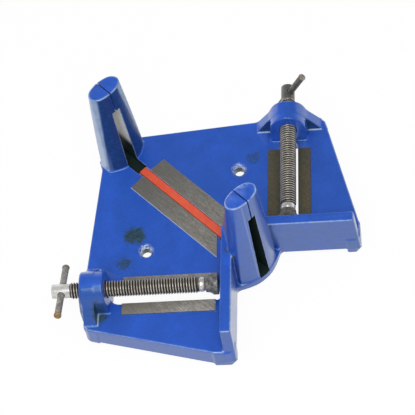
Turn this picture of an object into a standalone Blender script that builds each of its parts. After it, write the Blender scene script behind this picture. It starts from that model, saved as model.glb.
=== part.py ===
"""Corner (mitre) clamp with saw guides.
Metres, +Z up, bench face at z = 0. +Y runs along the saw line, the mirror plane is x = 0.
The origin is the corner where the two fence faces meet, projected on the bench.
Plan sizes are written in a corner frame P: fence A is the plane x = 0 (work on x < 0), fence B is y = 0."""
import math

import bmesh
import bpy
from mathutils import Vector

MM = 0.001
R2 = math.sqrt(2.0)

# clearances
RUN = 0.42
FIT = 0.35

# heights above the bench
FOOT_H = 7.5
SKIRT_LOW = 3.0
WEB_T = 8.0
PLATE = 27.5
PAD_RAISE = 1.5
FENCE_H = 38.0
POST_H = 129.0
SLIT_H = 32.0
APRON_T = 8.0
AXIS_H = 17.5
GROOVE_D = 5.5
STRIP_PROUD = 0.2

WEB_LOW = PLATE - WEB_T
PAD = PLATE + PAD_RAISE
FENCE_TOP = PLATE + FENCE_H
POST_TOP = PLATE + POST_H
SLIT_LOW = POST_TOP - SLIT_H
FENCE_LOW = FOOT_H - 1.0
APRON_LOW = FOOT_H - 1.5
APRON_TOP = APRON_LOW + APRON_T
AXIS_Z = PLATE + AXIS_H
GROOVE_LOW = PLATE - GROOVE_D
STRIP_TOP = PAD + STRIP_PROUD
SKIRT_WALL = 6.0
RIB_HALF = 12.0

# saw line: places along it, post sections, saw slot, slit, groove and strip
POST_F = -46.0
POST_B = 181.0
POST_L = 22.0
POST_D = 12.0
POST_END = 6.3
POST_L_FLARE = 7.3
POST_D_FLARE = 8.0
POST_IN_FLARE = 12.0
POST_BACK_FLARE = 4.0
POST_B_LEAN = 4.4
SLOT_HALF = 5.2
SLOT_LOW_HALF = 7.1
SLIT_HALF = 0.55
STRIP_HALF = 4.9
GROOVE_HALF = STRIP_HALF + 2 * FIT
STRIP_START = 2.2
STRIP_END = 141.2
SAW_PAD_HALF = 27.3
SAW_PAD_END = 133.6
RELIEF = 9.0
CORNER_R = 15.5
CORNER_HALF = POST_L + 9.0

# fences
FENCE_T = 12.6
FENCE_L = 152.5
FENCE_DRAFT = 0.8
FENCE_TOE = 4.5
FENCE_L_LOW = FENCE_L + FENCE_TOE
APRON_R = 65.0

# screw arms: distances from the fence face
ARM = 75.7
BOSS_IN = 131.0
BOSS_L = 35.5
BOSS_R = 20.4
WALL_T = 15.2
WALL_STEP = 5.3
WALL_HALF = 38.5
WALL_H = 35.2
WALL_TOP_HALF = 10.0
END_RUN = 11.5
END_DROP = 6.3
EDGE_SPREAD = 11.3
EDGE_IN = 13.2
PAD_START = 13.0
PAD_HALF = 25.4
ARM_SLOT_HALF = 10.3
SLOT_NEAR = 2.5
BOSS_OUT = BOSS_IN + BOSS_L
WALL_OUT = BOSS_OUT - WALL_STEP
WALL_IN = WALL_OUT - WALL_T
PLATE_EDGE = WALL_OUT + 0.3

# bench holes
HOLE_U = 92.0
HOLE_V = 15.9
HOLE_R = 5.75
SINK_R = 9.35
HOLE_WALL = 6.2
HOLE_L = 12.0

# screws
PITCH = 3.175
THREAD_R = 9.525
THREAD_DEPTH = 1.325
THREAD_L = 150.2
HEAD_R = 8.15
HEAD_L = 20.7
SHOE_GAP = 4.0
SHOE_L = 14.6
SHOE_R = 12.5
SHOE_RIM = 6.0
SHOE_NECK_R = 9.3
BALL_R = 5.2
NECK_R = 4.1
COLLAR_L = 6.2
COLLAR_R = 8.8
THREAD_ROOT = THREAD_R - THREAD_DEPTH
BORE_R = THREAD_R + RUN
SHOE_FACE = -SHOE_GAP
SHOE_BACK = SHOE_FACE - SHOE_L
BALL_U = SHOE_FACE - 0.575 * SHOE_L
THREAD_U1 = SHOE_BACK - 0.8 - COLLAR_L
THREAD_U0 = THREAD_U1 - THREAD_L
HEAD_U0 = THREAD_U0 - HEAD_L
BAR_U = HEAD_U0 + 0.53 * HEAD_L

# tommy bars
BAR_R = 3.95
BAR_HALF = 42.0
BAR_HOLE_R = BAR_R + RUN
SPIGOT_R = 2.4
SPIGOT_L = 2.3
CAP_L = 3.3
CAP_R = 4.45
BAR_TILT_L = 160.0
BAR_TILT_R = 59.5
BAR_SHIFT_R = -5.0
SEG = 32

for ob in list(bpy.data.objects):
    bpy.data.objects.remove(ob, do_unlink=True)


def f_of_p(x, y):
    """Corner frame P to the model frame."""
    return (x + y) / R2, (-x + y) / R2


def mirror_pts(pts):
    return [(-y, -x) for x, y in reversed(pts)]


def material(name, rgb, metallic, rough):
    m = bpy.data.materials.new(name)
    m.use_nodes = True
    b = m.node_tree.nodes["Principled BSDF"]
    b.inputs["Base Color"].default_value = (*rgb, 1.0)
    b.inputs["Metallic"].default_value = metallic
    b.inputs["Roughness"].default_value = rough
    return m


def obj_from(name, verts, faces, mat=None, origin=(0.0, 0.0, 0.0)):
    """Object whose mesh is given in model millimetres, with its origin at a given point (millimetres)."""
    me = bpy.data.meshes.new(name)
    ox, oy, oz = origin
    me.from_pydata([((x - ox) * MM, (y - oy) * MM, (z - oz) * MM) for x, y, z in verts], [], faces)
    me.update()
    bm = bmesh.new()
    bm.from_mesh(me)
    bmesh.ops.recalc_face_normals(bm, faces=bm.faces)
    bm.to_mesh(me)
    bm.free()
    ob = bpy.data.objects.new(name, me)
    ob.location = (ox * MM, oy * MM, oz * MM)
    bpy.context.scene.collection.objects.link(ob)
    if mat:
        me.materials.append(mat)
    return ob


def prism(name, pts, z0, z1, mat=None, pts_top=None):
    """Upright prism over a plan polygon given in the model frame, with an optional other top polygon."""
    top = pts_top or pts
    n = len(pts)
    verts = [(x, y, z0) for x, y in pts] + [(x, y, z1) for x, y in top]
    faces = [tuple(range(n - 1, -1, -1)), tuple(range(n, 2 * n))]
    faces += [(i, (i + 1) % n, n + (i + 1) % n, n + i) for i in range(n)]
    return obj_from(name, verts, faces, mat)


def hull(name, pts, mat=None):
    me = bpy.data.meshes.new(name)
    bm = bmesh.new()
    for p in pts:
        bm.verts.new(Vector(p) * MM)
    res = bmesh.ops.convex_hull(bm, input=bm.verts)
    junk = [g for g in res["geom_interior"] + res["geom_unused"] if isinstance(g, bmesh.types.BMVert)]
    bmesh.ops.delete(bm, geom=junk, context="VERTS")
    loose = [v for v in bm.verts if not v.link_faces]
    bmesh.ops.delete(bm, geom=loose, context="VERTS")
    bmesh.ops.recalc_face_normals(bm, faces=bm.faces)
    bm.to_mesh(me)
    bm.free()
    ob = bpy.data.objects.new(name, me)
    bpy.context.scene.collection.objects.link(ob)
    if mat:
        me.materials.append(mat)
    return ob


def boolean(target, tool, op):
    mod = target.modifiers.new(op.lower(), "BOOLEAN")
    mod.operation = op
    mod.solver = "EXACT"
    mod.object = tool
    dg = bpy.context.evaluated_depsgraph_get()
    me = bpy.data.meshes.new_from_object(target.evaluated_get(dg))
    old = target.data
    target.modifiers.remove(mod)
    target.data = me
    bpy.data.meshes.remove(old)
    bpy.data.objects.remove(tool, do_unlink=True)


def inset(pts, dists):
    """Counter-clockwise polygon with each edge moved inwards by its own distance."""
    lines = []
    n = len(pts)
    for i in range(n):
        (x0, y0), (x1, y1) = pts[i], pts[(i + 1) % n]
        length = math.hypot(x1 - x0, y1 - y0)
        nx, ny = -(y1 - y0) / length, (x1 - x0) / length
        lines.append((nx, ny, nx * x0 + ny * y0 + dists[i]))
    out = []
    for i in range(n):
        a1, b1, c1 = lines[i - 1]
        a2, b2, c2 = lines[i]
        det = a1 * b2 - a2 * b1
        out.append(((c1 * b2 - c2 * b1) / det, (a1 * c2 - a2 * c1) / det))
    return out


def to_f(pts):
    return [f_of_p(x, y) for x, y in pts]


def lens(cy, half, flat, front, back, n=7):
    """Post section: two long bowed sides and flat ends. front and back are the half depths at the middle."""
    pts = []
    for i in range(2 * n + 1):
        t = -1 + i / n
        pts.append((t * half, cy - flat - (front - flat) * (1 - t * t)))
    for i in range(2 * n + 1):
        t = 1 - i / n
        pts.append((t * half, cy + flat + (back - flat) * (1 - t * t)))
    return pts


def side(sign):
    """Local frame of one arm: u along the screw towards the fence, v to the side, z up. sign -1 left, +1 right."""
    a = 1 / R2
    if sign < 0:
        return (a, -a), (a, a), f_of_p(0.0, -ARM)
    return (-a, -a), (a, -a), f_of_p(ARM, 0.0)


def place(sign, u, v, z):
    (ux, uy), (vx, vy), (bx, by) = side(sign)
    return bx + u * ux + v * vx, by + u * uy + v * vy, z


def lathe(name, sign, prof, mat, seg=SEG, origin_u=0.0):
    """Closed surface of revolution about a screw axis, from (u, r) points; the first and last lie on the axis."""
    verts = [place(sign, prof[0][0], 0, AXIS_Z)]
    rings = []
    for u, r in prof[1:-1]:
        rings.append(len(verts))
        for k in range(seg):
            t = 2 * math.pi * k / seg
            verts.append(place(sign, u, r * math.cos(t), AXIS_Z + r * math.sin(t)))
    end = len(verts)
    verts.append(place(sign, prof[-1][0], 0, AXIS_Z))
    faces = [(0, rings[0] + (k + 1) % seg, rings[0] + k) for k in range(seg)]
    for a, b in zip(rings, rings[1:]):
        faces += [(a + k, a + (k + 1) % seg, b + (k + 1) % seg, b + k) for k in range(seg)]
    faces += [(end, rings[-1] + k, rings[-1] + (k + 1) % seg) for k in range(seg)]
    return obj_from(name, verts, faces, mat, origin=place(sign, origin_u, 0, AXIS_Z))


def turned(name, start, direction, prof, mat=None, seg=20, origin=None):
    """Solid of revolution along any line, from (distance, radius) points between two points on the line."""
    p0, w = Vector(start), Vector(direction).normalized()
    e1 = Vector((0.0, 0.0, 1.0)).cross(w)
    e1 = Vector((1.0, 0.0, 0.0)) if e1.length < 1e-6 else e1.normalized()
    e2 = w.cross(e1)
    verts = [tuple(p0 + w * prof[0][0])]
    for t, r in prof[1:-1]:
        for k in range(seg):
            an = 2 * math.pi * k / seg
            verts.append(tuple(p0 + w * t + (e1 * math.cos(an) + e2 * math.sin(an)) * r))
    verts.append(tuple(p0 + w * prof[-1][0]))
    m = len(prof) - 2
    faces = [(0, 1 + (k + 1) % seg, 1 + k) for k in range(seg)]
    for j in range(m - 1):
        a, b = 1 + j * seg, 1 + (j + 1) * seg
        faces += [(a + k, a + (k + 1) % seg, b + (k + 1) % seg, b + k) for k in range(seg)]
    a, end = 1 + (m - 1) * seg, len(verts) - 1
    faces += [(end, a + k, a + (k + 1) % seg) for k in range(seg)]
    return obj_from(name, verts, faces, mat, origin=origin or (0.0, 0.0, 0.0))


def rod(name, a, b, r, seg=20):
    length = (Vector(b) - Vector(a)).length
    return turned(name, a, Vector(b) - Vector(a), [(0, 0), (0, r), (length, r), (length, 0)], seg=seg)


ENAMEL = material("blue_enamel", (0.022, 0.075, 0.50), 0.0, 0.28)
STEEL = material("bright_steel", (0.50, 0.48, 0.45), 1.0, 0.32)
BAR = material("bar_steel", (0.40, 0.38, 0.35), 1.0, 0.40)
RED = material("red_strip", (0.72, 0.075, 0.03), 0.0, 0.45)

# base casting: plan outline in P, counter-clockwise, left half then its mirror image
low_v, high_v = -ARM - WALL_HALF, -ARM + WALL_HALF
half_corner = (POST_B - 1.0) / R2
left_edge = [(-half_corner - CORNER_HALF / R2, half_corner - CORNER_HALF / R2), (-PLATE_EDGE, high_v - 0.8),
             (-PLATE_EDGE, low_v + 2.2), (-PLATE_EDGE + 4.5, low_v - 4.0), (-PLATE_EDGE + END_RUN, low_v - END_DROP),
             (-BOSS_IN, low_v - EDGE_SPREAD), (-0.59 * BOSS_IN, -FENCE_L + EDGE_IN),
             (-2.0 * FENCE_T, -FENCE_L - 0.4),
             (-0.8 * FENCE_T, -FENCE_L_LOW + 0.4), (0.5, -FENCE_L_LOW)]
turn = [(-CORNER_HALF, -1.0), (-0.84 * CORNER_HALF, 0.58 * CORNER_R), (-0.48 * CORNER_HALF, 0.9 * CORNER_R),
        (0.0, CORNER_R), (0.48 * CORNER_HALF, 0.9 * CORNER_R), (0.84 * CORNER_HALF, 0.58 * CORNER_R),
        (CORNER_HALF, -1.0)]
corner_p = [((x - POST_B - y) / R2, (x + POST_B + y) / R2) for x, y in turn][::-1]
outline_p = left_edge + [(0.5, -0.5)] + mirror_pts(left_edge) + corner_p[1:-1]

base = prism("base_casting", to_f(outline_p), SKIRT_LOW, PLATE, ENAMEL)
half = left_edge[:-1] + [(-0.5, -FENCE_L_LOW), (-0.5, -0.5), (-half_corner, half_corner)]
walls = [SKIRT_WALL] * (len(half) - 3) + [SKIRT_WALL - 2.0, RIB_HALF, 1.2 * SKIRT_WALL]
pocket = inset(half, walls)
boolean(base, prism("cut_pocket_a", to_f(pocket), -5.0, WEB_LOW), "DIFFERENCE")
boolean(base, prism("cut_pocket_b", to_f(mirror_pts(pocket)), -5.0, WEB_LOW), "DIFFERENCE")

# fences
low = [(0.0, -FENCE_L_LOW), (FENCE_T + FENCE_DRAFT, -FENCE_L_LOW), (FENCE_T + FENCE_DRAFT, 0.0), (0.0, 0.0)]
top = [(0.0, -FENCE_L), (FENCE_T, -FENCE_L), (FENCE_T, 0.0), (0.0, 0.0)]
boolean(base, prism("fence_a", to_f(low), FENCE_LOW, FENCE_TOP, pts_top=to_f(top)), "UNION")
boolean(base, prism("fence_b", to_f(mirror_pts(low)), FENCE_LOW, FENCE_TOP, pts_top=to_f(mirror_pts(top))),
        "UNION")

# saw guide posts, cast with the base
low_l = POST_L + POST_L_FLARE
post_top = [(x, y, POST_TOP) for x, y in lens(POST_F, POST_L, POST_END, POST_D, POST_D)]
post_low = [(x, y, APRON_LOW + 1.0) for x, y in lens(POST_F, low_l, POST_END + 1.7, POST_D + POST_D_FLARE,
                                                      POST_D + 5.0)]
boolean(base, hull("post_front", post_low + post_top), "UNION")
k_in = POST_F + POST_D - 2.2
gusset = [(x, y, POST_TOP - 0.6) for x, y in ((-0.91 * POST_L, k_in - 4.3), (-0.41 * POST_L, k_in),
                                             (0.41 * POST_L, k_in), (0.91 * POST_L, k_in - 4.3))]
for z in (APRON_LOW + 2.0, FENCE_TOP):
    gusset += [(x, y, z) for x, y in ((-1.2 * POST_L, POST_F + 1.0), (-6.0, -7.6), (6.0, -7.6),
                                      (1.2 * POST_L, POST_F + 1.0))]
boolean(base, hull("post_gusset", gusset), "UNION")
post_top = [(x, y, POST_TOP) for x, y in lens(POST_B, POST_L, POST_END, POST_D, POST_D)]
post_low = [(x, y, WEB_LOW) for x, y in lens(POST_B - POST_B_LEAN, low_l, POST_END + 0.3,
                                             POST_D + POST_IN_FLARE - POST_B_LEAN,
                                             POST_D + POST_BACK_FLARE - 1.0 + POST_B_LEAN)]
boolean(base, hull("post_back", post_low + post_top), "UNION")

# apron under the front post: a round sector about the corner
start = math.degrees(math.acos(0.4 * FENCE_T / APRON_R)) + 45.0
apron = [(0.0, 0.0)]
for i in range(17):
    t = math.radians(-start + (2.0 * start - 180.0) * i / 16)
    apron.append((APRON_R * math.cos(t), APRON_R * math.sin(t)))
boolean(base, prism("apron", apron, APRON_LOW, APRON_TOP), "UNION")

# feet on the bench: fence ends, both corners of each end wall, and under the two posts
fx, fy = FENCE_T + FENCE_DRAFT + 0.4, -FENCE_L_LOW
wx = -WALL_OUT + 0.4
feet_p = [[(-12.0, fy - 0.3), (fx - 6.5, fy - 0.5), (fx, fy + 5.5), (fx, fy + 16.0), (-12.0, fy + 18.0)],
          [(wx, low_v - 1.0), (wx + 3.8, low_v - 4.0), (wx + 14.8, low_v - 7.2), (wx + 22.8, low_v + 9.2),
           (wx, low_v + 16.2)],
          [(wx - 0.4, high_v - 18.8), (wx + 12.8, high_v - 18.8), (wx + 12.8, high_v + 1.2),
           (wx - 0.4, high_v - 0.8)]]
k = 0
for poly in feet_p:
    for pts in (poly, mirror_pts(poly)):
        k += 1
        boolean(base, prism("foot_%d" % k, to_f(pts), 0.0, PLATE - 1.5), "UNION")
under = POST_F - POST_D - 2.0
front_foot = [(-1.22 * POST_L, POST_F - 4.0), (-0.64 * POST_L, under), (0.64 * POST_L, under),
              (1.22 * POST_L, POST_F - 4.0), (1.22 * POST_L, POST_F + 16.0), (RIB_HALF + 4.0, 12.0),
              (-RIB_HALF - 4.0, 12.0), (-1.22 * POST_L, POST_F + 16.0)]
boolean(base, prism("foot_front", front_foot, 0.0, WEB_LOW + 1.0), "UNION")
back_foot = [(-1.22 * POST_L, POST_B - 9.0), (-0.82 * POST_L, POST_B - 23.0), (0.82 * POST_L, POST_B - 23.0),
             (1.22 * POST_L, POST_B - 9.0), (1.1 * POST_L, POST_B + 0.5 * CORNER_R),
             (0.0, POST_B + CORNER_R - 2.5), (-1.1 * POST_L, POST_B + 0.5 * CORNER_R)]
boolean(base, prism("foot_back", back_foot, 0.0, WEB_LOW + 1.0), "UNION")

# screw bosses: round-topped block and end wall
for s in (-1, 1):
    blk = []
    for u, r, lean in ((-BOSS_OUT, BOSS_R - 0.2, 0.10), (-BOSS_IN, BOSS_R + 1.0, -0.13)):
        for i in range(17):
            t = math.pi * i / 16
            dz = AXIS_H + r * math.sin(t)
            blk.append(place(s, u + lean * dz, r * math.cos(t), AXIS_Z + r * math.sin(t)))
        for v in (-r - 0.6, r + 0.6):
            blk.append(place(s, u, v, FOOT_H + 2.0))
    boolean(base, hull("boss_block_%d" % s, blk), "UNION")
    wall = []
    h, w = WALL_H, WALL_TOP_HALF
    for v, dz in ((WALL_HALF, -WEB_T), (WALL_HALF, 0.0), (w, h), (w + 4.5, h - 4.0)):
        for q in (-1, 1):
            wall.append(place(s, -WALL_OUT + 0.03 * dz, q * v, PLATE + dz))
    for v, dz in ((WALL_HALF, -WEB_T), (WALL_HALF - 0.5, 0.0), (w + 1.5, h - 0.5)):
        for q in (-1, 1):
            wall.append(place(s, -WALL_IN - 0.05 * dz, q * v, PLATE + dz))
    boolean(base, hull("boss_wall_%d" % s, wall), "UNION")

# raised machined pads, clear of the fences by the relief
for s in (-1, 1):
    far = -BOSS_IN + PAD_START
    pad = [place(s, u, v, 0)[:2] for u, v in ((far, -PAD_HALF), (-RELIEF, -PAD_HALF), (-RELIEF, PAD_HALF),
                                              (far, PAD_HALF))]
    boolean(base, prism("pad_screw_%d" % s, pad, PLATE - 1.0, PAD), "UNION")
    near = RELIEF * R2
    saw = [(s * SAW_PAD_HALF, SAW_PAD_END - 0.4), (s * 3.0, SAW_PAD_END + 1.0), (s * 3.0, near - 3.0),
           (s * SAW_PAD_HALF, near - SAW_PAD_HALF)]
    boolean(base, prism("pad_saw_%d" % s, saw, PLATE - 1.0, PAD), "UNION")


def arc(u, v, r, a0, a1, n):
    return [(u + r * math.cos(math.radians(a0 + (a1 - a0) * i / n)),
             v + r * math.sin(math.radians(a0 + (a1 - a0) * i / n))) for i in range(n + 1)]


# cuts: slots under the screws, bores and bench holes
for s in (-1, 1):
    w, c = ARM_SLOT_HALF, 0.55 * ARM_SLOT_HALF
    path = arc(-BOSS_IN + w - 0.8, 0.0, w, 90, 270, 12)
    path += arc(-SLOT_NEAR - c, -w + c, c, -90, 0, 6) + arc(-SLOT_NEAR - c, w - c, c, 0, 90, 6)
    boolean(base, prism("cut_slot_%d" % s, [place(s, u, v, 0)[:2] for u, v in path], -5.0, PAD + 5.0),
            "DIFFERENCE")
    boolean(base, rod("cut_bore_%d" % s, place(s, -BOSS_OUT - 10.0, 0, AXIS_Z), place(s, -BOSS_IN + 10.0, 0, AXIS_Z),
                      BORE_R, seg=32), "DIFFERENCE")
    hx, hy = f_of_p(-HOLE_U, -HOLE_V) if s < 0 else f_of_p(HOLE_V, HOLE_U)
    boolean(base, rod("hole_boss_%d" % s, (hx, hy, PLATE - HOLE_L), (hx, hy, WEB_LOW + 1.0), HOLE_R + HOLE_WALL,
                      seg=24), "UNION")
    boolean(base, rod("cut_hole_%d" % s, (hx, hy, -5.0), (hx, hy, PLATE + 5.0), HOLE_R, seg=28), "DIFFERENCE")
    ring = []
    for i in range(28):
        t = 2 * math.pi * i / 28
        c, d = math.cos(t), math.sin(t)
        ring.append((hx + (HOLE_R - 0.05) * c, hy + (HOLE_R - 0.05) * d, PLATE - (SINK_R - HOLE_R) - 0.05))
        ring.append((hx + (SINK_R + 1.0) * c, hy + (SINK_R + 1.0) * d, PLATE + 1.0))
    boolean(base, hull("cut_sink_%d" % s, ring), "DIFFERENCE")


def box(name, x0, x1, y0, y1, z0, z1):
    return prism(name, [(x0, y0), (x1, y0), (x1, y1), (x0, y1)], z0, z1)


# groove, saw slots and slits
far_end = POST_B + CORNER_R + 20.0
near_end = POST_F - POST_D - 25.0
boolean(base, box("cut_groove", -GROOVE_HALF, GROOVE_HALF, -2.0, STRIP_END + 2.0, GROOVE_LOW, PAD + 5.0),
        "DIFFERENCE")
for name, y0, y1, z0 in (("back", STRIP_END + 1.0, far_end, GROOVE_LOW), ("front", near_end, 1.5, APRON_TOP)):
    wide, narrow = ([(-w, y0), (w, y0), (w, y1), (-w, y1)] for w in (SLOT_LOW_HALF, SLOT_HALF))
    boolean(base, prism("cut_%s_slot" % name, wide, z0, SLIT_LOW, pts_top=narrow), "DIFFERENCE")
boolean(base, box("cut_slits", -SLIT_HALF, SLIT_HALF, near_end, far_end, SLIT_LOW - 2.0, POST_TOP + 5.0),
        "DIFFERENCE")

# red strip in the groove
strip_pts = [(-STRIP_HALF, STRIP_START), (STRIP_HALF, STRIP_START), (STRIP_HALF, STRIP_END), (-STRIP_HALF, STRIP_END)]
prism("saw_strip", strip_pts, GROOVE_LOW + FIT, STRIP_TOP, RED)


def clamp_screw(name, sign):
    """Threaded screw with a plain head, a smooth collar, a neck and a ball end."""
    seg = 12
    profile = ((0.0, 0.0), (0.42, 0.92), (0.60, 1.0))
    turns = int((THREAD_U1 - THREAD_U0) / PITCH) + 2
    verts = [place(sign, HEAD_U0, 0, AXIS_Z)]
    rings = []

    def ring(fn):
        rings.append(len(verts))
        for kk in range(seg):
            t = 2 * math.pi * kk / seg
            u, r = fn(t)
            verts.append(place(sign, u, r * math.cos(t), AXIS_Z + r * math.sin(t)))

    def plain(u, r):
        ring(lambda t: (u, r))

    plain(HEAD_U0, HEAD_R - 1.2)
    plain(HEAD_U0 + 0.9, HEAD_R)
    plain(THREAD_U0 - 0.4, HEAD_R)
    plain(THREAD_U0, THREAD_ROOT)
    lo, hi = THREAD_U0 + 0.3, THREAD_U1 - 0.3

    def helix(n, step, h):
        def at(t):
            raw = THREAD_U0 + PITCH * (n - 1.0 + step + t / (2 * math.pi))
            inside = 1.0 if lo < raw < hi else 0.0
            return min(max(raw, lo), hi), THREAD_ROOT + THREAD_DEPTH * h * inside
        return at

    for n in range(turns):
        for step, h in profile:
            ring(helix(n, step, h))
    c = COLLAR_L
    for du, r in ((0.0, THREAD_ROOT), (0.12 * c, COLLAR_R), (0.6 * c, COLLAR_R - 0.2), (0.9 * c, COLLAR_R - 0.8),
                  (c, 0.8 * COLLAR_R), (c, NECK_R), (c + 3.2, NECK_R)):
        plain(THREAD_U1 + du, r)
    for i in range(1, 6):
        a = math.pi * (0.24 + 0.152 * i)
        plain(BALL_U - BALL_R * math.cos(a), BALL_R * math.sin(a))
    end = len(verts)
    verts.append(place(sign, BALL_U + BALL_R, 0, AXIS_Z))
    faces = [(0, rings[0] + (kk + 1) % seg, rings[0] + kk) for kk in range(seg)]
    for a, b in zip(rings, rings[1:]):
        faces += [(a + kk, a + (kk + 1) % seg, b + (kk + 1) % seg, b + kk) for kk in range(seg)]
    faces += [(end, rings[-1] + kk, rings[-1] + (kk + 1) % seg) for kk in range(seg)]
    ob = obj_from(name, verts, faces, STEEL, origin=place(sign, BAR_U, 0, AXIS_Z))
    bm = bmesh.new()
    bm.from_mesh(ob.data)
    bmesh.ops.remove_doubles(bm, verts=bm.verts, dist=1e-6)
    bmesh.ops.dissolve_degenerate(bm, dist=1e-6, edges=bm.edges)
    bmesh.ops.recalc_face_normals(bm, faces=bm.faces)
    bm.to_mesh(ob.data)
    bm.free()
    return ob


for sign, tag in ((-1, "left"), (1, "right")):
    screw = clamp_screw("clamp_screw_" + tag, sign)
    tilt = math.radians(BAR_TILT_L if sign < 0 else BAR_TILT_R)
    shift = 0.0 if sign < 0 else BAR_SHIFT_R
    cv, cz = math.cos(tilt), math.sin(tilt)
    centre = place(sign, BAR_U, 0, AXIS_Z)

    def along(d):
        return place(sign, BAR_U, d * cv, AXIS_Z + d * cz)

    reach = HEAD_R + 6.0
    boolean(screw, rod("cut_cross_" + tag, along(-reach), along(reach), BAR_HOLE_R, seg=20), "DIFFERENCE")
    way = Vector(along(1.0)) - Vector(along(0.0))
    half, tip = BAR_HALF, BAR_HALF + SPIGOT_L
    turned("tommy_bar_" + tag, along(shift), way,
           [(-tip, 0), (-tip, SPIGOT_R), (-half, SPIGOT_R), (-half, BAR_R), (half, BAR_R), (half, SPIGOT_R),
            (tip, SPIGOT_R), (tip, 0)], BAR, seg=20, origin=centre)
    e = half + FIT
    prof = [(tip + FIT, 0.0), (tip + FIT, SPIGOT_R + FIT), (e, SPIGOT_R + FIT), (e, CAP_R - 0.5), (e + 0.5, CAP_R),
            (e + CAP_L - 1.0, CAP_R), (e + CAP_L, CAP_R - 1.3), (e + CAP_L, 0.0)]
    for end, k in (("upper", 1.0), ("lower", -1.0)):
        turned("bar_cap_" + tag + "_" + end, along(shift), way * k, prof, BAR, seg=20, origin=centre)
    rim = SHOE_FACE - SHOE_RIM
    neck = NECK_R + 0.65
    socket = BALL_R + 1.3 * FIT
    prof = [(SHOE_FACE, 0.0), (SHOE_FACE, SHOE_R - 0.6), (SHOE_FACE - 0.6, SHOE_R), (rim, SHOE_R),
            (rim - 0.9, SHOE_R - 1.0), (SHOE_BACK, SHOE_NECK_R), (SHOE_BACK, neck), (BALL_U - 3.6, neck)]
    for i in range(1, 6):
        a = math.pi * (0.30 + 0.14 * i)
        prof.append((BALL_U - socket * math.cos(a), socket * math.sin(a)))
    prof.append((BALL_U + socket, 0.0))
    lathe("swivel_shoe_" + tag, sign, prof, STEEL, seg=28, origin_u=SHOE_FACE)
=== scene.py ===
"""Looks of the cast corner clamp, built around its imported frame.

Metres in the scene, millimetres in the shape formulas. +Y runs along the saw line and
x = 0 is the mirror plane."""
import math

import bmesh
import bpy
import numpy as np
from mathutils import Matrix, Vector


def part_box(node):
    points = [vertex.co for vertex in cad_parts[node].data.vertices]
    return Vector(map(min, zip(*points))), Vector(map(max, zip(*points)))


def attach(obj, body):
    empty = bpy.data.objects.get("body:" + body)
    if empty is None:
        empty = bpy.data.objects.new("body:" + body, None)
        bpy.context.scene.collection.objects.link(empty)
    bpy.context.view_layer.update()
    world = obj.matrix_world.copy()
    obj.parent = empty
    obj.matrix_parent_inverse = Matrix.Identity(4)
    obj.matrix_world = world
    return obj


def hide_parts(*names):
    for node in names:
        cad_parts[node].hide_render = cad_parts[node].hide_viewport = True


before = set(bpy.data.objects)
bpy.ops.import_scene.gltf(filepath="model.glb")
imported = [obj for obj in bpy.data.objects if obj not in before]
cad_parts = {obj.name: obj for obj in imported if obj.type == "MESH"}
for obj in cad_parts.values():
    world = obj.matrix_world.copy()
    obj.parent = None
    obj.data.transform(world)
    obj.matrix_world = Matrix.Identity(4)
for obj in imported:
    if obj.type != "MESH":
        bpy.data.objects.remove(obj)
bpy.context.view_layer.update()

MM = 0.001
R2 = math.sqrt(2.0)
INWARDS = 1.0e6

# heights above the bench, as in the frame
BENCH, TOP = (value / MM for value in (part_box("base_casting")[0].z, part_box("base_casting")[1].z))
PLATE = 27.5
WEB = 19.5
SKIRT, FENCE_LOW, BOSS_LOW = 3.0, 6.5, 9.5
PAD = 29.0
FENCE_TOP = 65.5
SLIT_LOW = 124.5
AXIS = 45.0
GROOVE_LOW = 22.0
APRON_LOW, APRON_TOP = 6.0, 14.0

# plan sizes: p runs along an arm to its fence face, q along the fence
ARM = 75.7
PLATE_END = 161.5
FENCE_T, FENCE_L = 12.6, 152.5
FENCE_DRAFT, FENCE_TOE = 0.8, 4.5
BOSS_IN, BOSS_OUT, BOSS_R = 131.0, 166.5, 20.4
WALL_OUT, WALL_IN, WALL_HALF, WALL_H = 161.2, 146.0, 38.5, 35.2
BORE_R = 9.945
ARM_SLOT_HALF, ARM_SLOT_FAR, ARM_SLOT_NEAR = 10.3, 131.8, 2.5
HOLE_P, HOLE_Q, HOLE_R, SINK_R = -92.0, -15.9, 5.75, 9.35
HOLE_WALL, HOLE_L = 6.2, 12.0
APRON_R = 65.0

# along the saw line
POST_F, POST_B = -46.0, 181.0
POST_HALF, POST_DEPTH, POST_END = 22.0, 12.0, 6.3
POST_LOW_HALF = 29.3
SLOT_HALF, SLOT_LOW_HALF, SLIT_HALF, GROOVE_HALF = 5.2, 7.1, 0.55, 5.6
NICK_X = -27.0
CORNER_HALF, CORNER_R = 31.0, 15.5

# each post: middle, foot's height, then depths at the foot of its ends, front and back, and the foot's lean
FRONT_POST = (POST_F, 7.0, 8.0, 20.0, 17.0, 0.0)
BACK_POST = (POST_B, WEB, 6.6, 19.6, 19.4, 4.4)

# milled pads
PAD_FAR, PAD_NEAR, PAD_HALF = -118.0, -9.0, 25.4
SAW_PAD_HALF, SAW_PAD_END = 27.3, 133.6
SKIN_INSET = 0.15

# screws, shoes and bars: distances along the screw from the fence face
PITCH = 3.175
THREAD_R, THREAD_ROOT = 9.525, 7.95
THREAD_U0, THREAD_U1 = -175.8, -25.6
COLLAR_L, COLLAR_R = 6.2, 8.8
HEAD_U0, HEAD_R = -196.5, 8.15
NECK_R = 4.1
BALL_U, BALL_R = -12.395, 5.2
SHOE_FACE, SHOE_BACK, SHOE_R = -4.0, -18.6, 12.5
SHOE_NECK_R, SHOE_RIM = 9.3, 6.0
BAR_U, BAR_R, BAR_HALF, BAR_HOLE_R = -185.529, 3.95, 42.0, 4.37
SPIGOT_R, SPIGOT_L = 2.4, 2.3
CAP_R, CAP_L, CAP_GAP = 4.45, 3.3, 0.35
BAR_TILT = {"left": 160.0, "right": 59.5}
BAR_SHIFT = {"left": 0.0, "right": -5.0}
SIDES = {"left": -1, "right": 1}


# distance formulas

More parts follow.
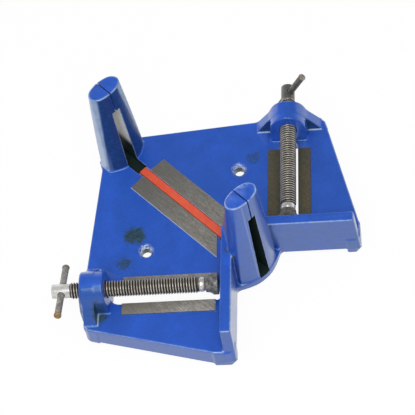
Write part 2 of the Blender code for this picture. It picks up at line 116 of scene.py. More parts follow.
def soft_min(a, b, k):
    """Union of two solids with a fillet.

    It is the smaller distance, less k/4 times the square of how near the two are."""
    h = np.maximum(k - np.abs(a - b), 0.0) / k
    return np.minimum(a, b) - 0.25 * k * h * h


def soft_max(a, b, k):
    """Intersection of two solids with a rounded edge: the larger distance, plus the same term."""
    return -soft_min(-a, -b, k)


def outline(x, y, points, turn=0.0):
    """Signed distance to a closed plan outline whose outer corners are turned with a radius.

    It is the distance to the nearest edge, negative where a ray to the right crosses an odd number of edges."""
    nearest = np.full(np.broadcast(x, y).shape, INWARDS, np.float32)
    inside = np.zeros(nearest.shape, bool)
    for (ax, ay), (bx, by) in zip(points, points[1:] + points[:1]):
        ex, ey = bx - ax, by - ay
        wx, wy = x - ax, y - ay
        t = np.clip((wx * ex + wy * ey) / (ex * ex + ey * ey), 0.0, 1.0)
        nearest = np.minimum(nearest, (wx - ex * t) ** 2 + (wy - ey * t) ** 2)
        if abs(ey) > 1e-9:
            inside ^= ((wy < 0) != (y - by < 0)) & (wx < ex * wy / ey)
    return np.where(inside, -1.0, 1.0) * np.sqrt(nearest) - turn


def inset(points, distance):
    """Counter-clockwise outline with each edge moved inwards: a new corner is where two moved edges meet."""
    lines = []
    for (x0, y0), (x1, y1) in zip(points, points[1:] + points[:1]):
        length = math.hypot(x1 - x0, y1 - y0)
        nx, ny = -(y1 - y0) / length, (x1 - x0) / length
        lines.append((nx, ny, nx * x0 + ny * y0 + distance))
    corners = []
    for (a1, b1, c1), (a2, b2, c2) in zip(lines[-1:] + lines[:-1], lines):
        det = a1 * b2 - a2 * b1
        corners.append(((c1 * b2 - c2 * b1) / det, (a1 * c2 - a2 * c1) / det))
    return corners


def hull_planes(points):
    """Planes of the convex body round some points, as rows (nx, ny, nz, offset)."""
    bm = bmesh.new()
    for point in points:
        bm.verts.new(point)
    bmesh.ops.convex_hull(bm, input=bm.verts)
    bmesh.ops.recalc_face_normals(bm, faces=bm.faces)
    bm.normal_update()
    faces = [f for f in bm.faces if f.calc_area() > 1]
    rows = {tuple(round(c, 3) for c in f.normal): f.normal.dot(f.verts[0].co) for f in faces}
    bm.free()
    return [(*normal, offset) for normal, offset in sorted(rows.items())]


def hull(x, y, z, planes, k):
    """Distance to a convex body with soft edges: the soft maximum of the distances to its planes."""
    body = None
    for nx, ny, nz, offset in planes:
        side = nx * x + ny * y + nz * z - offset
        body = side if body is None else soft_max(body, side, k)
    return body


# outlines in p and q, counter-clockwise, running past the mirror plane where the other half takes over
PAST = 260.0
SHIFT = ARM + WALL_HALF
PLATE_EDGE = [(-(POST_B - 1.0 + CORNER_HALF) / R2, (POST_B - 1.0 - CORNER_HALF) / R2),
              (-PLATE_END, -ARM + WALL_HALF - 0.8), (-PLATE_END, -SHIFT + 2.2),
              (-PLATE_END + 4.5, -SHIFT - 4.0), (-PLATE_END + 11.5, -SHIFT - 6.3),
              (-BOSS_IN, -SHIFT - 11.3), (-77.3, -FENCE_L + 13.2),
              (-2.0 * FENCE_T, -FENCE_L - 0.4), (-0.8 * FENCE_T, -FENCE_L - 4.1), (0.5, -FENCE_L - FENCE_TOE)]
BACK_EDGE = [((x - POST_B - y) / R2, (x + POST_B + y) / R2)
             for x, y in ((PAST / 2, CORNER_R), (0.0, CORNER_R), (-0.48 * CORNER_HALF, 0.9 * CORNER_R),
                          (-0.84 * CORNER_HALF, 0.58 * CORNER_R))]
HALF_PLATE = PLATE_EDGE + [(0.5, -0.5), (PAST, -0.5)] + BACK_EDGE
POCKET = [(-144.5, 96.0), (-155.5, -38.0), (-155.5, -109.0), (-147.0, -114.5), (-76.0, -133.0), (-24.0, -146.5),
          (-4.5, -150.0), (-4.5, -21.5), (-120.0, 108.0)]
FEET = [[(-12.0, -157.3), (7.3, -157.5), (13.8, -151.5), (13.8, -141.0), (-12.0, -139.0)],
        [(-160.8, -SHIFT - 1.0), (-157.0, -SHIFT - 4.0), (-146.0, -SHIFT - 7.2), (-138.0, -SHIFT + 9.2),
         (-160.8, -SHIFT + 16.2)],
        [(-161.2, -56.0), (-148.0, -56.0), (-148.0, -36.0), (-161.2, -38.0)]]
FRONT_FOOT = [(-26.8, -50.0), (-14.1, -60.0), (14.1, -60.0), (26.8, -50.0), (26.8, -30.0), (16.0, 12.0),
              (-16.0, 12.0), (-26.8, -30.0)]
BACK_FOOT = [(-26.8, 172.0), (-18.0, 158.0), (18.0, 158.0), (26.8, 172.0), (24.2, 188.7), (0.0, 194.0),
             (-24.2, 188.7)]
SAW_PAD = [(-SAW_PAD_HALF, SAW_PAD_END - 0.4), (-SAW_PAD_HALF, -14.6), (-3.0, 9.7), (-3.0, SAW_PAD_END + 1.0)]
GUSSET = hull_planes(
    [(s * a, b, TOP - 0.6) for s in (-1, 1) for a, b in ((0.70 * POST_HALF, -39.6), (0.36 * POST_HALF, -36.4))]
    + [(s * a, b, h) for s in (-1, 1) for a, b in ((26.4, -45.0), (6.0, -7.6))
       for h in (APRON_LOW + 2.0, FENCE_TOP)])
# the flat top of the posts takes the place of the gusset's own top
GUSSET = [row for row in GUSSET if row[2] < 0.9]


def plate(p, q, z):
    """Slab over the rounded outline with a soft upper edge, less the pocket under it."""
    slab = soft_max(outline(p, q, inset(HALF_PLATE, 3.0), 3.0), z - PLATE, 2.2)
    slab = soft_max(slab, SKIRT - z, 1.0)
    pocket = soft_max(outline(p, q, inset(POCKET, 4.0), 4.0), z - WEB, 4.0)
    return soft_max(slab, -pocket, 1.5)


def fence(p, q, z):
    """Bar between two planes; its outer face and its end lean outwards towards the bench."""
    fall = (FENCE_TOP - z) / (FENCE_TOP - FENCE_LOW)
    bar = soft_max(-p, p - FENCE_T - FENCE_DRAFT * fall, 0.5)
    bar = soft_max(bar, -FENCE_L - FENCE_TOE * fall - q, 2.4)
    return soft_max(soft_max(bar, z - FENCE_TOP, 1.5), FENCE_LOW - z, 1.5)


def guide_post(x, y, z, middle, low, low_end, low_front, low_back, lean):
    """Lofted post: two bowed sides, depth = end + (middle depth - end) (1 - (x / half) squared), and flat ends.

    All its sizes run straight from the foot to the top, and so does the rounding of its upright edges."""
    rise = np.clip((z - low) / (TOP - low), 0.0, 1.0)
    half = POST_LOW_HALF + (POST_HALF - POST_LOW_HALF) * rise
    end = low_end + (POST_END - low_end) * rise
    middle = middle - lean * (1.0 - rise)
    sides = []
    for depth, away in ((low_front, middle - y), (low_back, y - middle)):
        swell = depth + (POST_DEPTH - depth) * rise - end
        steepness = np.sqrt(1.0 + (2.0 * swell * x / half ** 2) ** 2)
        sides.append((away - end - swell * (1.0 - (x / half) ** 2)) / steepness)
    post = soft_max(np.maximum(sides[0], sides[1]), np.abs(x) - half, 1.5 + 7.5 * rise ** 2)
    return np.maximum(soft_max(post, z - TOP, 1.5), low - 1.0 - z)


def boss(p, v, z):
    """Block with a round top: distance from the screw's axis above it and from the middle plane below it."""
    r = BOSS_R - 0.2 + 1.2 * (p + BOSS_OUT) / (BOSS_OUT - BOSS_IN)
    up = z - AXIS
    block = np.hypot(v, np.maximum(up, 0.0)) - r - 0.017 * np.maximum(-up, 0.0)
    rise = np.maximum(z - PLATE, 0.0)
    block = soft_max(block, 0.1 * rise - BOSS_OUT - p, 3.0)
    block = soft_max(block, p + BOSS_IN + 0.13 * rise, 2.0)
    return np.maximum(block, BOSS_LOW - z)


def end_wall(p, v, z):
    """Wall between two leaning planes under a sloping roof: two pairs of slopes and a flat top."""
    up, out = z - PLATE, np.abs(v)
    wall = np.maximum(0.03 * up - WALL_OUT - p, p + WALL_IN + 0.05 * up)
    roof = soft_max((out - WALL_HALF) * 0.7927 + up * 0.6098, (out - 14.5) * 0.6644 + (up - 31.2) * 0.7474, 2.0)
    roof = soft_max(np.maximum(roof, out - WALL_HALF), up - WALL_H, 1.5)
    return np.maximum(soft_max(wall, roof, 1.6), WEB - z)


def pads(x, y, p, v, z):
    """Raised pads under the milled skins: a rectangle under the screw and a strip along the saw line."""
    screw = np.maximum(np.maximum(PAD_FAR - p, p - PAD_NEAR), np.abs(v) - PAD_HALF)
    saw = outline(x, y, SAW_PAD)
    return soft_max(np.minimum(screw, saw), z - PAD + 0.15, 0.7)


def arm_slot(p, v):
    """Long slot under the screw: a rounded box whose far end is a half circle."""
    middle = 0.5 * (ARM_SLOT_FAR + ARM_SLOT_NEAR)
    turn = np.where(p < -middle, ARM_SLOT_HALF, 0.55 * ARM_SLOT_HALF)
    dx = np.abs(p + middle) - (ARM_SLOT_FAR - ARM_SLOT_NEAR) / 2 + turn
    dy = np.abs(v) - ARM_SLOT_HALF + turn
    return np.hypot(np.maximum(dx, 0.0), np.maximum(dy, 0.0)) + np.minimum(np.maximum(dx, dy), 0.0) - turn


def saw_slots(across, y, z):
    """Slots of the two posts: the half width grows in a straight line from the slit down to the foot."""
    fall = np.clip((SLIT_LOW - z) / (SLIT_LOW - APRON_TOP), 0.0, 1.0)
    side = across - SLOT_HALF - (SLOT_LOW_HALF - SLOT_HALF) * fall
    back = np.maximum(GROOVE_LOW - z, 142.2 - y)
    front = np.maximum(APRON_TOP - z, y - 1.5)
    return np.maximum(np.maximum(side, np.minimum(back, front)), z - SLIT_LOW)


def casting(x, y, z):
    """Distance to the casting's skin in millimetres, negative in the iron.

    Solids are joined with fillets, then the cuts are taken out."""
    x = -np.abs(x)
    p, q = (x - y) / R2, (x + y) / R2
    v = q + ARM
    body = soft_min(plate(p, q, z), fence(p, q, z), 2.2)
    post = guide_post(x, y, z, *FRONT_POST)
    gusset = soft_max(hull(x, y, z, GUSSET, 1.5), z - TOP, 1.5)
    body = soft_min(body, soft_min(post, gusset, 3.0), 4.0)
    body = soft_min(body, guide_post(x, y, z, *BACK_POST), 3.0)
    apron = soft_max(np.maximum(np.hypot(p, q) - APRON_R, 5.0 - p), z - APRON_TOP, 1.6)
    body = soft_min(body, np.maximum(apron, APRON_LOW - z), 4.0)
    for foot in FEET:
        pillar = soft_max(outline(p, q, inset(foot, 2.0), 2.0), z - PLATE + 1.5, 2.0)
        body = soft_min(body, soft_max(pillar, BENCH - z, 0.8), 2.0)
    for foot in (FRONT_FOOT, BACK_FOOT):
        pillar = np.maximum(outline(x, y, inset(foot, 2.0), 2.0), z - WEB - 1.0)
        body = soft_min(body, soft_max(pillar, BENCH - z, 0.8), 2.0)
    body = soft_min(body, soft_min(boss(p, v, z), end_wall(p, v, z), 4.0), 2.2)
    body = np.minimum(body, np.maximum(pads(x, y, p, v, z), WEB + 2.0 - z))
    body = np.maximum(body, np.maximum(z - TOP, y - POST_B - CORNER_R))

    from_hole = np.hypot(p - HOLE_P, q - HOLE_Q)
    ring = np.maximum(np.maximum(from_hole - HOLE_R - HOLE_WALL, PLATE - HOLE_L - z), z - WEB - 1.0)
    body = soft_min(body, ring, 2.0)
    flare = np.clip(z - PLATE + SINK_R - HOLE_R, 0.0, SINK_R - HOLE_R + 0.6)
    sink = (from_hole - HOLE_R - flare) / R2
    across = np.abs(x)
    bore = np.hypot(v, z - AXIS) - BORE_R + np.where(p > -BOSS_IN + 9.0, 50.0, 0.0)
    groove = np.maximum(np.maximum(across - GROOVE_HALF, GROOVE_LOW - z), np.maximum(-2.0 - y, y - 143.2))
    cuts = ((arm_slot(p, v), 0.5), (bore, 1.2),
            (np.minimum(from_hole - HOLE_R, sink), 0.8),
            (groove, 0.6),
            (saw_slots(across, y, z), 1.0),
            (np.maximum(across - SLIT_HALF, SLIT_LOW - 2.0 - z), 0.3))
    for cut, k in cuts:
        body = soft_max(body, -cut, k)
    return body


def level_and_slope(distance, points):
    """Distance and its gradient at some points, from the four corners of a small tetrahedron round each."""
    arms = np.array([(1, -1, -1), (-1, -1, 1), (-1, 1, -1), (1, 1, 1)], float)
    reach = 0.12
    values = [distance(*(points + reach * arm).T) for arm in arms]
    slope = sum(value[:, None] * arm for value, arm in zip(values, arms)) / (4.0 * reach)
    return sum(values) / 4.0, slope


def sample_half(distance, low, high, pitch):
    """Distances on a grid over x < 0, in blocks of four: far blocks take one value, near ones sixty-four."""
    block = 4
    count = [math.ceil(span / pitch / block) for span in (-low[0], high[1] - low[1], high[2] - low[2])]
    start = [-0.5 * pitch, low[1], low[2]]
    step = [-pitch, pitch, pitch]
    middles = [s + d * (block * np.arange(n) + 1.5) for s, d, n in zip(start, step, count)]
    rough = distance(middles[0][:, None, None], middles[1][None, :, None], middles[2][None, None, :])
    field = np.repeat(rough.astype(np.float32)[..., None], block ** 3, axis=-1)
    field = field.reshape(*rough.shape, *[block] * 3)
    near = np.abs(rough) < 4.6 * pitch
    index = np.nonzero(near)
    inner = np.arange(block)
    x, y, z = (s + d * (block * i[:, None] + inner) for s, d, i in zip(start, step, index))
    field[near] = distance(x[:, :, None, None], y[:, None, :, None], z[:, None, None, :])
    shape = [n * block for n in count]
    return field.transpose(0, 3, 1, 4, 2, 5).reshape(shape)


def skin_of(distance, low, high, pitch):
    """Points and four-sided faces of the zero level of a distance formula that is the same for x and -x.

    Each cell whose corners differ in sign gets a point, the mean of its edges' crossings, and each grid edge
    that crosses the level gets the face of its four cells. Newton steps, p minus d g / |g| squared, then seat
    the points."""
    half = sample_half(distance, low, high, pitch)
    field = np.concatenate([half[::-1], half])
    origin = np.array([-(half.shape[0] - 0.5) * pitch, low[1], low[2]])
    solid = field < 0
    corners = np.array([(i, j, k) for i in (0, 1) for j in (0, 1) for k in (0, 1)])
    n = np.array(field.shape) - 1
    filled = sum(solid[i:i + n[0], j:j + n[1], k:k + n[2]].astype(np.int8) for i, j, k in corners)
    cells = np.argwhere((filled > 0) & (filled < 8))
    values = field[tuple((cells[:, None, :] + corners).transpose(2, 0, 1))]
    total, count = np.zeros((len(cells), 3)), np.zeros(len(cells))
    for a in range(8):
        for b in range(a + 1, 8):
            if np.abs(corners[a] - corners[b]).sum() != 1:
                continue
            crossing = (values[:, a] < 0) != (values[:, b] < 0)
            t = values[:, a] / np.where(crossing, values[:, a] - values[:, b], 1.0)
            total += np.where(crossing[:, None], corners[a] + t[:, None] * (corners[b] - corners[a]), 0.0)
            count += crossing
    points = origin + (cells + total / count[:, None]) * pitch
    number = np.full(n, -1, np.int32)
    number[tuple(cells.T)] = np.arange(len(cells), dtype=np.int32)
    faces = []
    for axis in range(3):
        order = (axis, (axis + 1) % 3, (axis + 2) % 3)
        s, cell = solid.transpose(order), number.transpose(order)
        i, j, k = np.nonzero(s[:-1, 1:-1, 1:-1] != s[1:, 1:-1, 1:-1])
        j, k = j + 1, k + 1
        quad = np.stack([cell[i, j - 1, k - 1], cell[i, j, k - 1], cell[i, j, k], cell[i, j - 1, k]], axis=1)
        faces.append(np.where(s[i, j, k][:, None], quad, quad[:, ::-1]))
    for _ in range(2):
        level, slope = level_and_slope(distance, points)
        stride = np.clip(level / np.maximum((slope ** 2).sum(1), 0.2), -0.6 * pitch, 0.6 * pitch)
        points -= stride[:, None] * slope
    return points, np.concatenate(faces)


# mesh helpers

def piece_from(name, points, faces):
    """New object from model millimetres: an array of points and one of faces with equal corners."""
    mesh = bpy.data.meshes.new(name)
    corners = faces.shape[1]
    mesh.vertices.add(len(points))
    mesh.vertices.foreach_set("co", (np.asarray(points) * MM).astype(np.float32).ravel())
    mesh.loops.add(faces.size)
    mesh.loops.foreach_set("vertex_index", faces.astype(np.int32).ravel())
    mesh.polygons.add(len(faces))
    mesh.polygons.foreach_set("loop_start", np.arange(0, faces.size, corners, dtype=np.int32))
    mesh.polygons.foreach_set("loop_total", np.full(len(faces), corners, np.int32))
    mesh.update(calc_edges=True)
    mesh.validate()
    piece = bpy.data.objects.new(name, mesh)
    bpy.context.scene.collection.objects.link(piece)
    return piece


def points_of(piece):
    """Vertices of a piece in model millimetres."""
    flat = np.empty(len(piece.data.vertices) * 3, np.float32)
    piece.data.vertices.foreach_get("co", flat)
    return flat.reshape(-1, 3).astype(float) / MM


def mark(piece, name, values):
    """Stores one number for each vertex, for a material to read."""
    attribute = piece.data.attributes.new(name, "FLOAT", "POINT")
    attribute.data.foreach_set("value", values.astype(np.float32))


def apply_modifiers(piece):
    """The evaluated mesh takes the place of the piece's own."""
    graph = bpy.context.evaluated_depsgraph_get()
    made = bpy.data.meshes.new_from_object(piece.evaluated_get(graph))
    piece.modifiers.clear()
    old, piece.data = piece.data, made
    bpy.data.meshes.remove(old)


def smooth(piece, degrees):
    """Smooth shading that breaks at edges sharper than an angle."""
    piece.data.shade_smooth()
    piece.data.set_sharp_from_angle(angle=math.radians(degrees))


def eased(profile, reach, steps=5):
    """Profile whose inner corners are quadratic curves between points a reach away on their two sides."""
    points = [np.array(profile[0], float)]
    for before, corner, after in zip(profile, profile[1:], profile[2:]):
        a, c, b = (np.array(value, float) for value in (before, corner, after))
        la, lb = np.linalg.norm(a - c), np.linalg.norm(b - c)
        a = c + (a - c) * min(reach / la, 0.45)
        b = c + (b - c) * min(reach / lb, 0.45)
        for i in range(steps + 1):
            t = i / steps
            points.append((1 - t) ** 2 * a + 2 * t * (1 - t) * c + t * t * b)
    points.append(np.array(profile[-1], float))
    return np.array(points)


def revolved(name, start, way, along, radius):
    """Surface of revolution about a line: point = start + way along + radius (across cos t + up sin t).

    along and radius are grids, one row a ring and one column a step of t. Single points close both ends."""
    way = np.array(way, float) / np.linalg.norm(way)
    across = np.cross((0.0, 0.0, 1.0), way)
    across /= np.linalg.norm(across)
    up = np.cross(way, across)
    rings, sides = radius.shape
    t = 2.0 * np.pi * np.arange(sides) / sides
    spoke = np.cos(t)[:, None] * across + np.sin(t)[:, None] * up
    body = np.array(start) + along[..., None] * way + radius[..., None] * spoke
    ends = np.array([np.array(start) + along[i].mean() * way for i in (0, -1)])
    points = np.concatenate([body.reshape(-1, 3), ends])
    ring, step = np.meshgrid(np.arange(rings - 1), np.arange(sides), indexing="ij")
    here, there = ring * sides + step, ring * sides + (step + 1) % sides
    quads = np.stack([here, there, there + sides, here + sides], axis=-1).reshape(-1, 4)
    k = np.arange(sides)
    first, last = rings * sides, rings * sides + 1
    low = np.stack([np.full(sides, first), (k + 1) % sides, k], axis=1)
    end_ring = (rings - 1) * sides
    high = np.stack([np.full(sides, last), end_ring + k, end_ring + (k + 1) % sides], axis=1)
    mesh_faces = [tuple(f) for f in quads.tolist()] + [tuple(f) for f in np.concatenate([low, high]).tolist()]
    mesh = bpy.data.meshes.new(name)
    mesh.from_pydata((points * MM).tolist(), [], mesh_faces)
    bm = bmesh.new()
    bm.from_mesh(mesh)
    bmesh.ops.remove_doubles(bm, verts=bm.verts, dist=1e-7)
    bmesh.ops.recalc_face_normals(bm, faces=bm.faces)
    bm.to_mesh(mesh)
    bm.free()
    piece = bpy.data.objects.new(name, mesh)
    bpy.context.scene.collection.objects.link(piece)
    return piece


def turned(name, start, way, profile, sides=64):
    """Surface of revolution of one profile of (distance, radius) points."""
    rows = np.asarray(profile, float)
    flat = np.ones(sides)
    return revolved(name, start, way, rows[:, :1] * flat, rows[:, 1:] * flat)


def place(sign, u, v, z):
    """Model place of a point given along the screw, beside it and above the bench."""
    p, q = (u, v - ARM)
    x, y = (p + q) / R2, (q - p) / R2
    return np.array([x, y, z]) if sign < 0 else np.array([-x, y, z])


def along_screw(sign):
    return place(sign, 1.0, 0.0, 0.0) - place(sign, 0.0, 0.0, 0.0)


def side_way(sign):
    """The way of growing v in a right-handed frame with the screw's way and up."""
    return np.cross((0.0, 0.0, 1.0), along_screw(sign))


# materials

def node(tree, kind, settings=None, **inputs):
    """New node: settings are its own values, inputs its sockets by name or number, linked or set."""
    made = tree.nodes.new(kind)
    for key, value in (settings or {}).items():
        setattr(made, key, value)
    for key, value in inputs.items():
        socket = made.inputs[int(key[1:])] if key[1:].isdigit() else made.inputs[key.replace("_", " ")]
        if isinstance(value, bpy.types.NodeSocket):
            tree.links.new(value, socket)
        else:
            socket.default_value = value
    return made


def group(name, sockets, outputs):
    """Empty node group with named inputs and outputs; returns its tree and its two ends."""
    tree = bpy.data.node_groups.new(name, "ShaderNodeTree")
    for title, kind in sockets:
        tree.interface.new_socket(title, in_out="INPUT", socket_type=kind)
    for title, kind in outputs:
        tree.interface.new_socket(title, in_out="OUTPUT", socket_type=kind)
    return tree, tree.nodes.new("NodeGroupInput"), tree.nodes.new("NodeGroupOutput")


def make_uneven():
    """Group: noise stretched by a scale for each way, brought to the span between Low and High."""
    tree, entry, leave = group("uneven", [("Vector", "NodeSocketVector"), ("Scale", "NodeSocketVector"),
                                          ("Low", "NodeSocketFloat"), ("High", "NodeSocketFloat")],
                               [("Value", "NodeSocketFloat")])
    stretched = node(tree, "ShaderNodeVectorMath", {"operation": "MULTIPLY"}, i0=entry.outputs["Vector"],
                     i1=entry.outputs["Scale"])
    noise = node(tree, "ShaderNodeTexNoise", Vector=stretched.outputs[0], Scale=1.0, Detail=4.0, Roughness=0.6)
    span = node(tree, "ShaderNodeMapRange", Value=noise.outputs["Fac"], From_Min=entry.outputs["Low"],
                From_Max=entry.outputs["High"])
    tree.links.new(span.outputs[0], leave.inputs["Value"])
    return tree


def make_spot():
    """Group: 1 within a radius of an upright line through a centre, falling to 0 at its ragged rim."""
    tree, entry, leave = group("spot", [("Vector", "NodeSocketVector"), ("Centre", "NodeSocketVector"),
                                        ("Radius", "NodeSocketFloat"), ("Ragged", "NodeSocketFloat")],
                               [("Value", "NodeSocketFloat")])
    flat = node(tree, "ShaderNodeVectorMath", {"operation": "MULTIPLY"}, i0=entry.outputs["Vector"],
                i1=(1.0, 1.0, 0.0))
    gap = node(tree, "ShaderNodeVectorMath", {"operation": "DISTANCE"}, i0=flat.outputs[0],
               i1=entry.outputs["Centre"])
    noise = node(tree, "ShaderNodeTexNoise", Vector=entry.outputs["Vector"], Scale=190.0, Detail=5.0)
    wobble = node(tree, "ShaderNodeMath", {"operation": "SUBTRACT"}, i0=noise.outputs["Fac"], i1=0.5)
    push = node(tree, "ShaderNodeMath", {"operation": "MULTIPLY_ADD"}, i0=wobble.outputs[0],
                i1=entry.outputs["Ragged"], i2=gap.outputs["Value"])
    rim = node(tree, "ShaderNodeMath", {"operation": "MULTIPLY"}, i0=entry.outputs["Radius"], i1=0.55)
    fall = node(tree, "ShaderNodeMapRange", Value=push.outputs[0], From_Min=entry.outputs["Radius"],
                From_Max=rim.outputs[0])
    tree.links.new(fall.outputs[0], leave.inputs["Value"])
    return tree


def make_relief():
    """Group: a normal from two noises, a wide one for waviness and a fine one for grain."""
    tree, entry, leave = group("relief", [("Vector", "NodeSocketVector"), ("Wide", "NodeSocketVector"),
                                          ("Fine", "NodeSocketVector"), ("Wave", "NodeSocketFloat"),
                                          ("Grain", "NodeSocketFloat")], [("Normal", "NodeSocketVector")])
    normal = None
    for scale, height in (("Wide", "Wave"), ("Fine", "Grain")):
        stretched = node(tree, "ShaderNodeVectorMath", {"operation": "MULTIPLY"}, i0=entry.outputs["Vector"],
                         i1=entry.outputs[scale])
        noise = node(tree, "ShaderNodeTexNoise", Vector=stretched.outputs[0], Scale=1.0, Detail=3.0)
        bump = node(tree, "ShaderNodeBump", Strength=1.0, Distance=entry.outputs[height],
                    Height=noise.outputs["Fac"])
        if normal is not None:
            tree.links.new(normal, bump.inputs["Normal"])
        normal = bump.outputs["Normal"]
    tree.links.new(normal, leave.inputs["Normal"])
    return tree


UNEVEN, SPOT, RELIEF = make_uneven(), make_spot(), make_relief()


class Finish:
    """A material under construction: its tree, its shader and the piece's own coordinates."""

    def __init__(self, name, metallic=0.0, coat=0.0, gloss=0.5):
        self.material = bpy.data.materials.new(name)
        self.material.use_nodes = True
        self.tree = self.material.node_tree
        self.shader = self.tree.nodes["Principled BSDF"]
        self.shader.inputs["Metallic"].default_value = metallic
        self.shader.inputs["Coat Weight"].default_value = coat
        self.shader.inputs["Specular IOR Level"].default_value = gloss
        self.place = self.add("ShaderNodeTexCoord").outputs["Object"]

    def add(self, kind, settings=None, **inputs):
        return node(self.tree, kind, settings, **inputs)

    def uneven(self, scale, low=0.3, high=0.7):
        scale = scale if isinstance(scale, tuple) else (scale,) * 3
        made = self.add("ShaderNodeGroup", {"node_tree": UNEVEN}, Vector=self.place, Scale=scale,
                        Low=low, High=high)
        return made.outputs["Value"]

    def spot(self, centre, radius, ragged):
        made = self.add("ShaderNodeGroup", {"node_tree": SPOT}, Vector=self.place, Centre=centre, Radius=radius,
                        Ragged=ragged)
        return made.outputs["Value"]

    def relief(self, wide, fine, wave, grain):
        wide, fine = ((s if isinstance(s, tuple) else (s,) * 3) for s in (wide, fine))
        made = self.add("ShaderNodeGroup", {"node_tree": RELIEF}, Vector=self.place, Wide=wide, Fine=fine,
                        Wave=wave, Grain=grain)
        self.tree.links.new(made.outputs["Normal"], self.shader.inputs["Normal"])

    def math(self, operation, a, b, clamp=False):
        return self.add("ShaderNodeMath", {"operation": operation, "use_clamp": clamp}, i0=a, i1=b).outputs[0]

    def blend(self, share, a, b):
        """Colour that goes from a to b as share goes from 0 to 1."""
        a, b = ((*c, 1.0) if isinstance(c, tuple) and len(c) == 3 else c for c in (a, b))
        mix = self.add("ShaderNodeMix", {"data_type": "RGBA"}, i0=share, i6=a, i7=b)
        return mix.outputs[2]

    def span(self, share, low, high):
        """Number that goes from low to high as share goes from 0 to 1."""
        return self.add("ShaderNodeMapRange", Value=share, To_Min=low, To_Max=high).outputs[0]

    def stored(self, name):
        return self.add("ShaderNodeAttribute", {"attribute_name": name}).outputs["Fac"]

    def set(self, socket, value):
        self.tree.links.new(value, self.shader.inputs[socket])


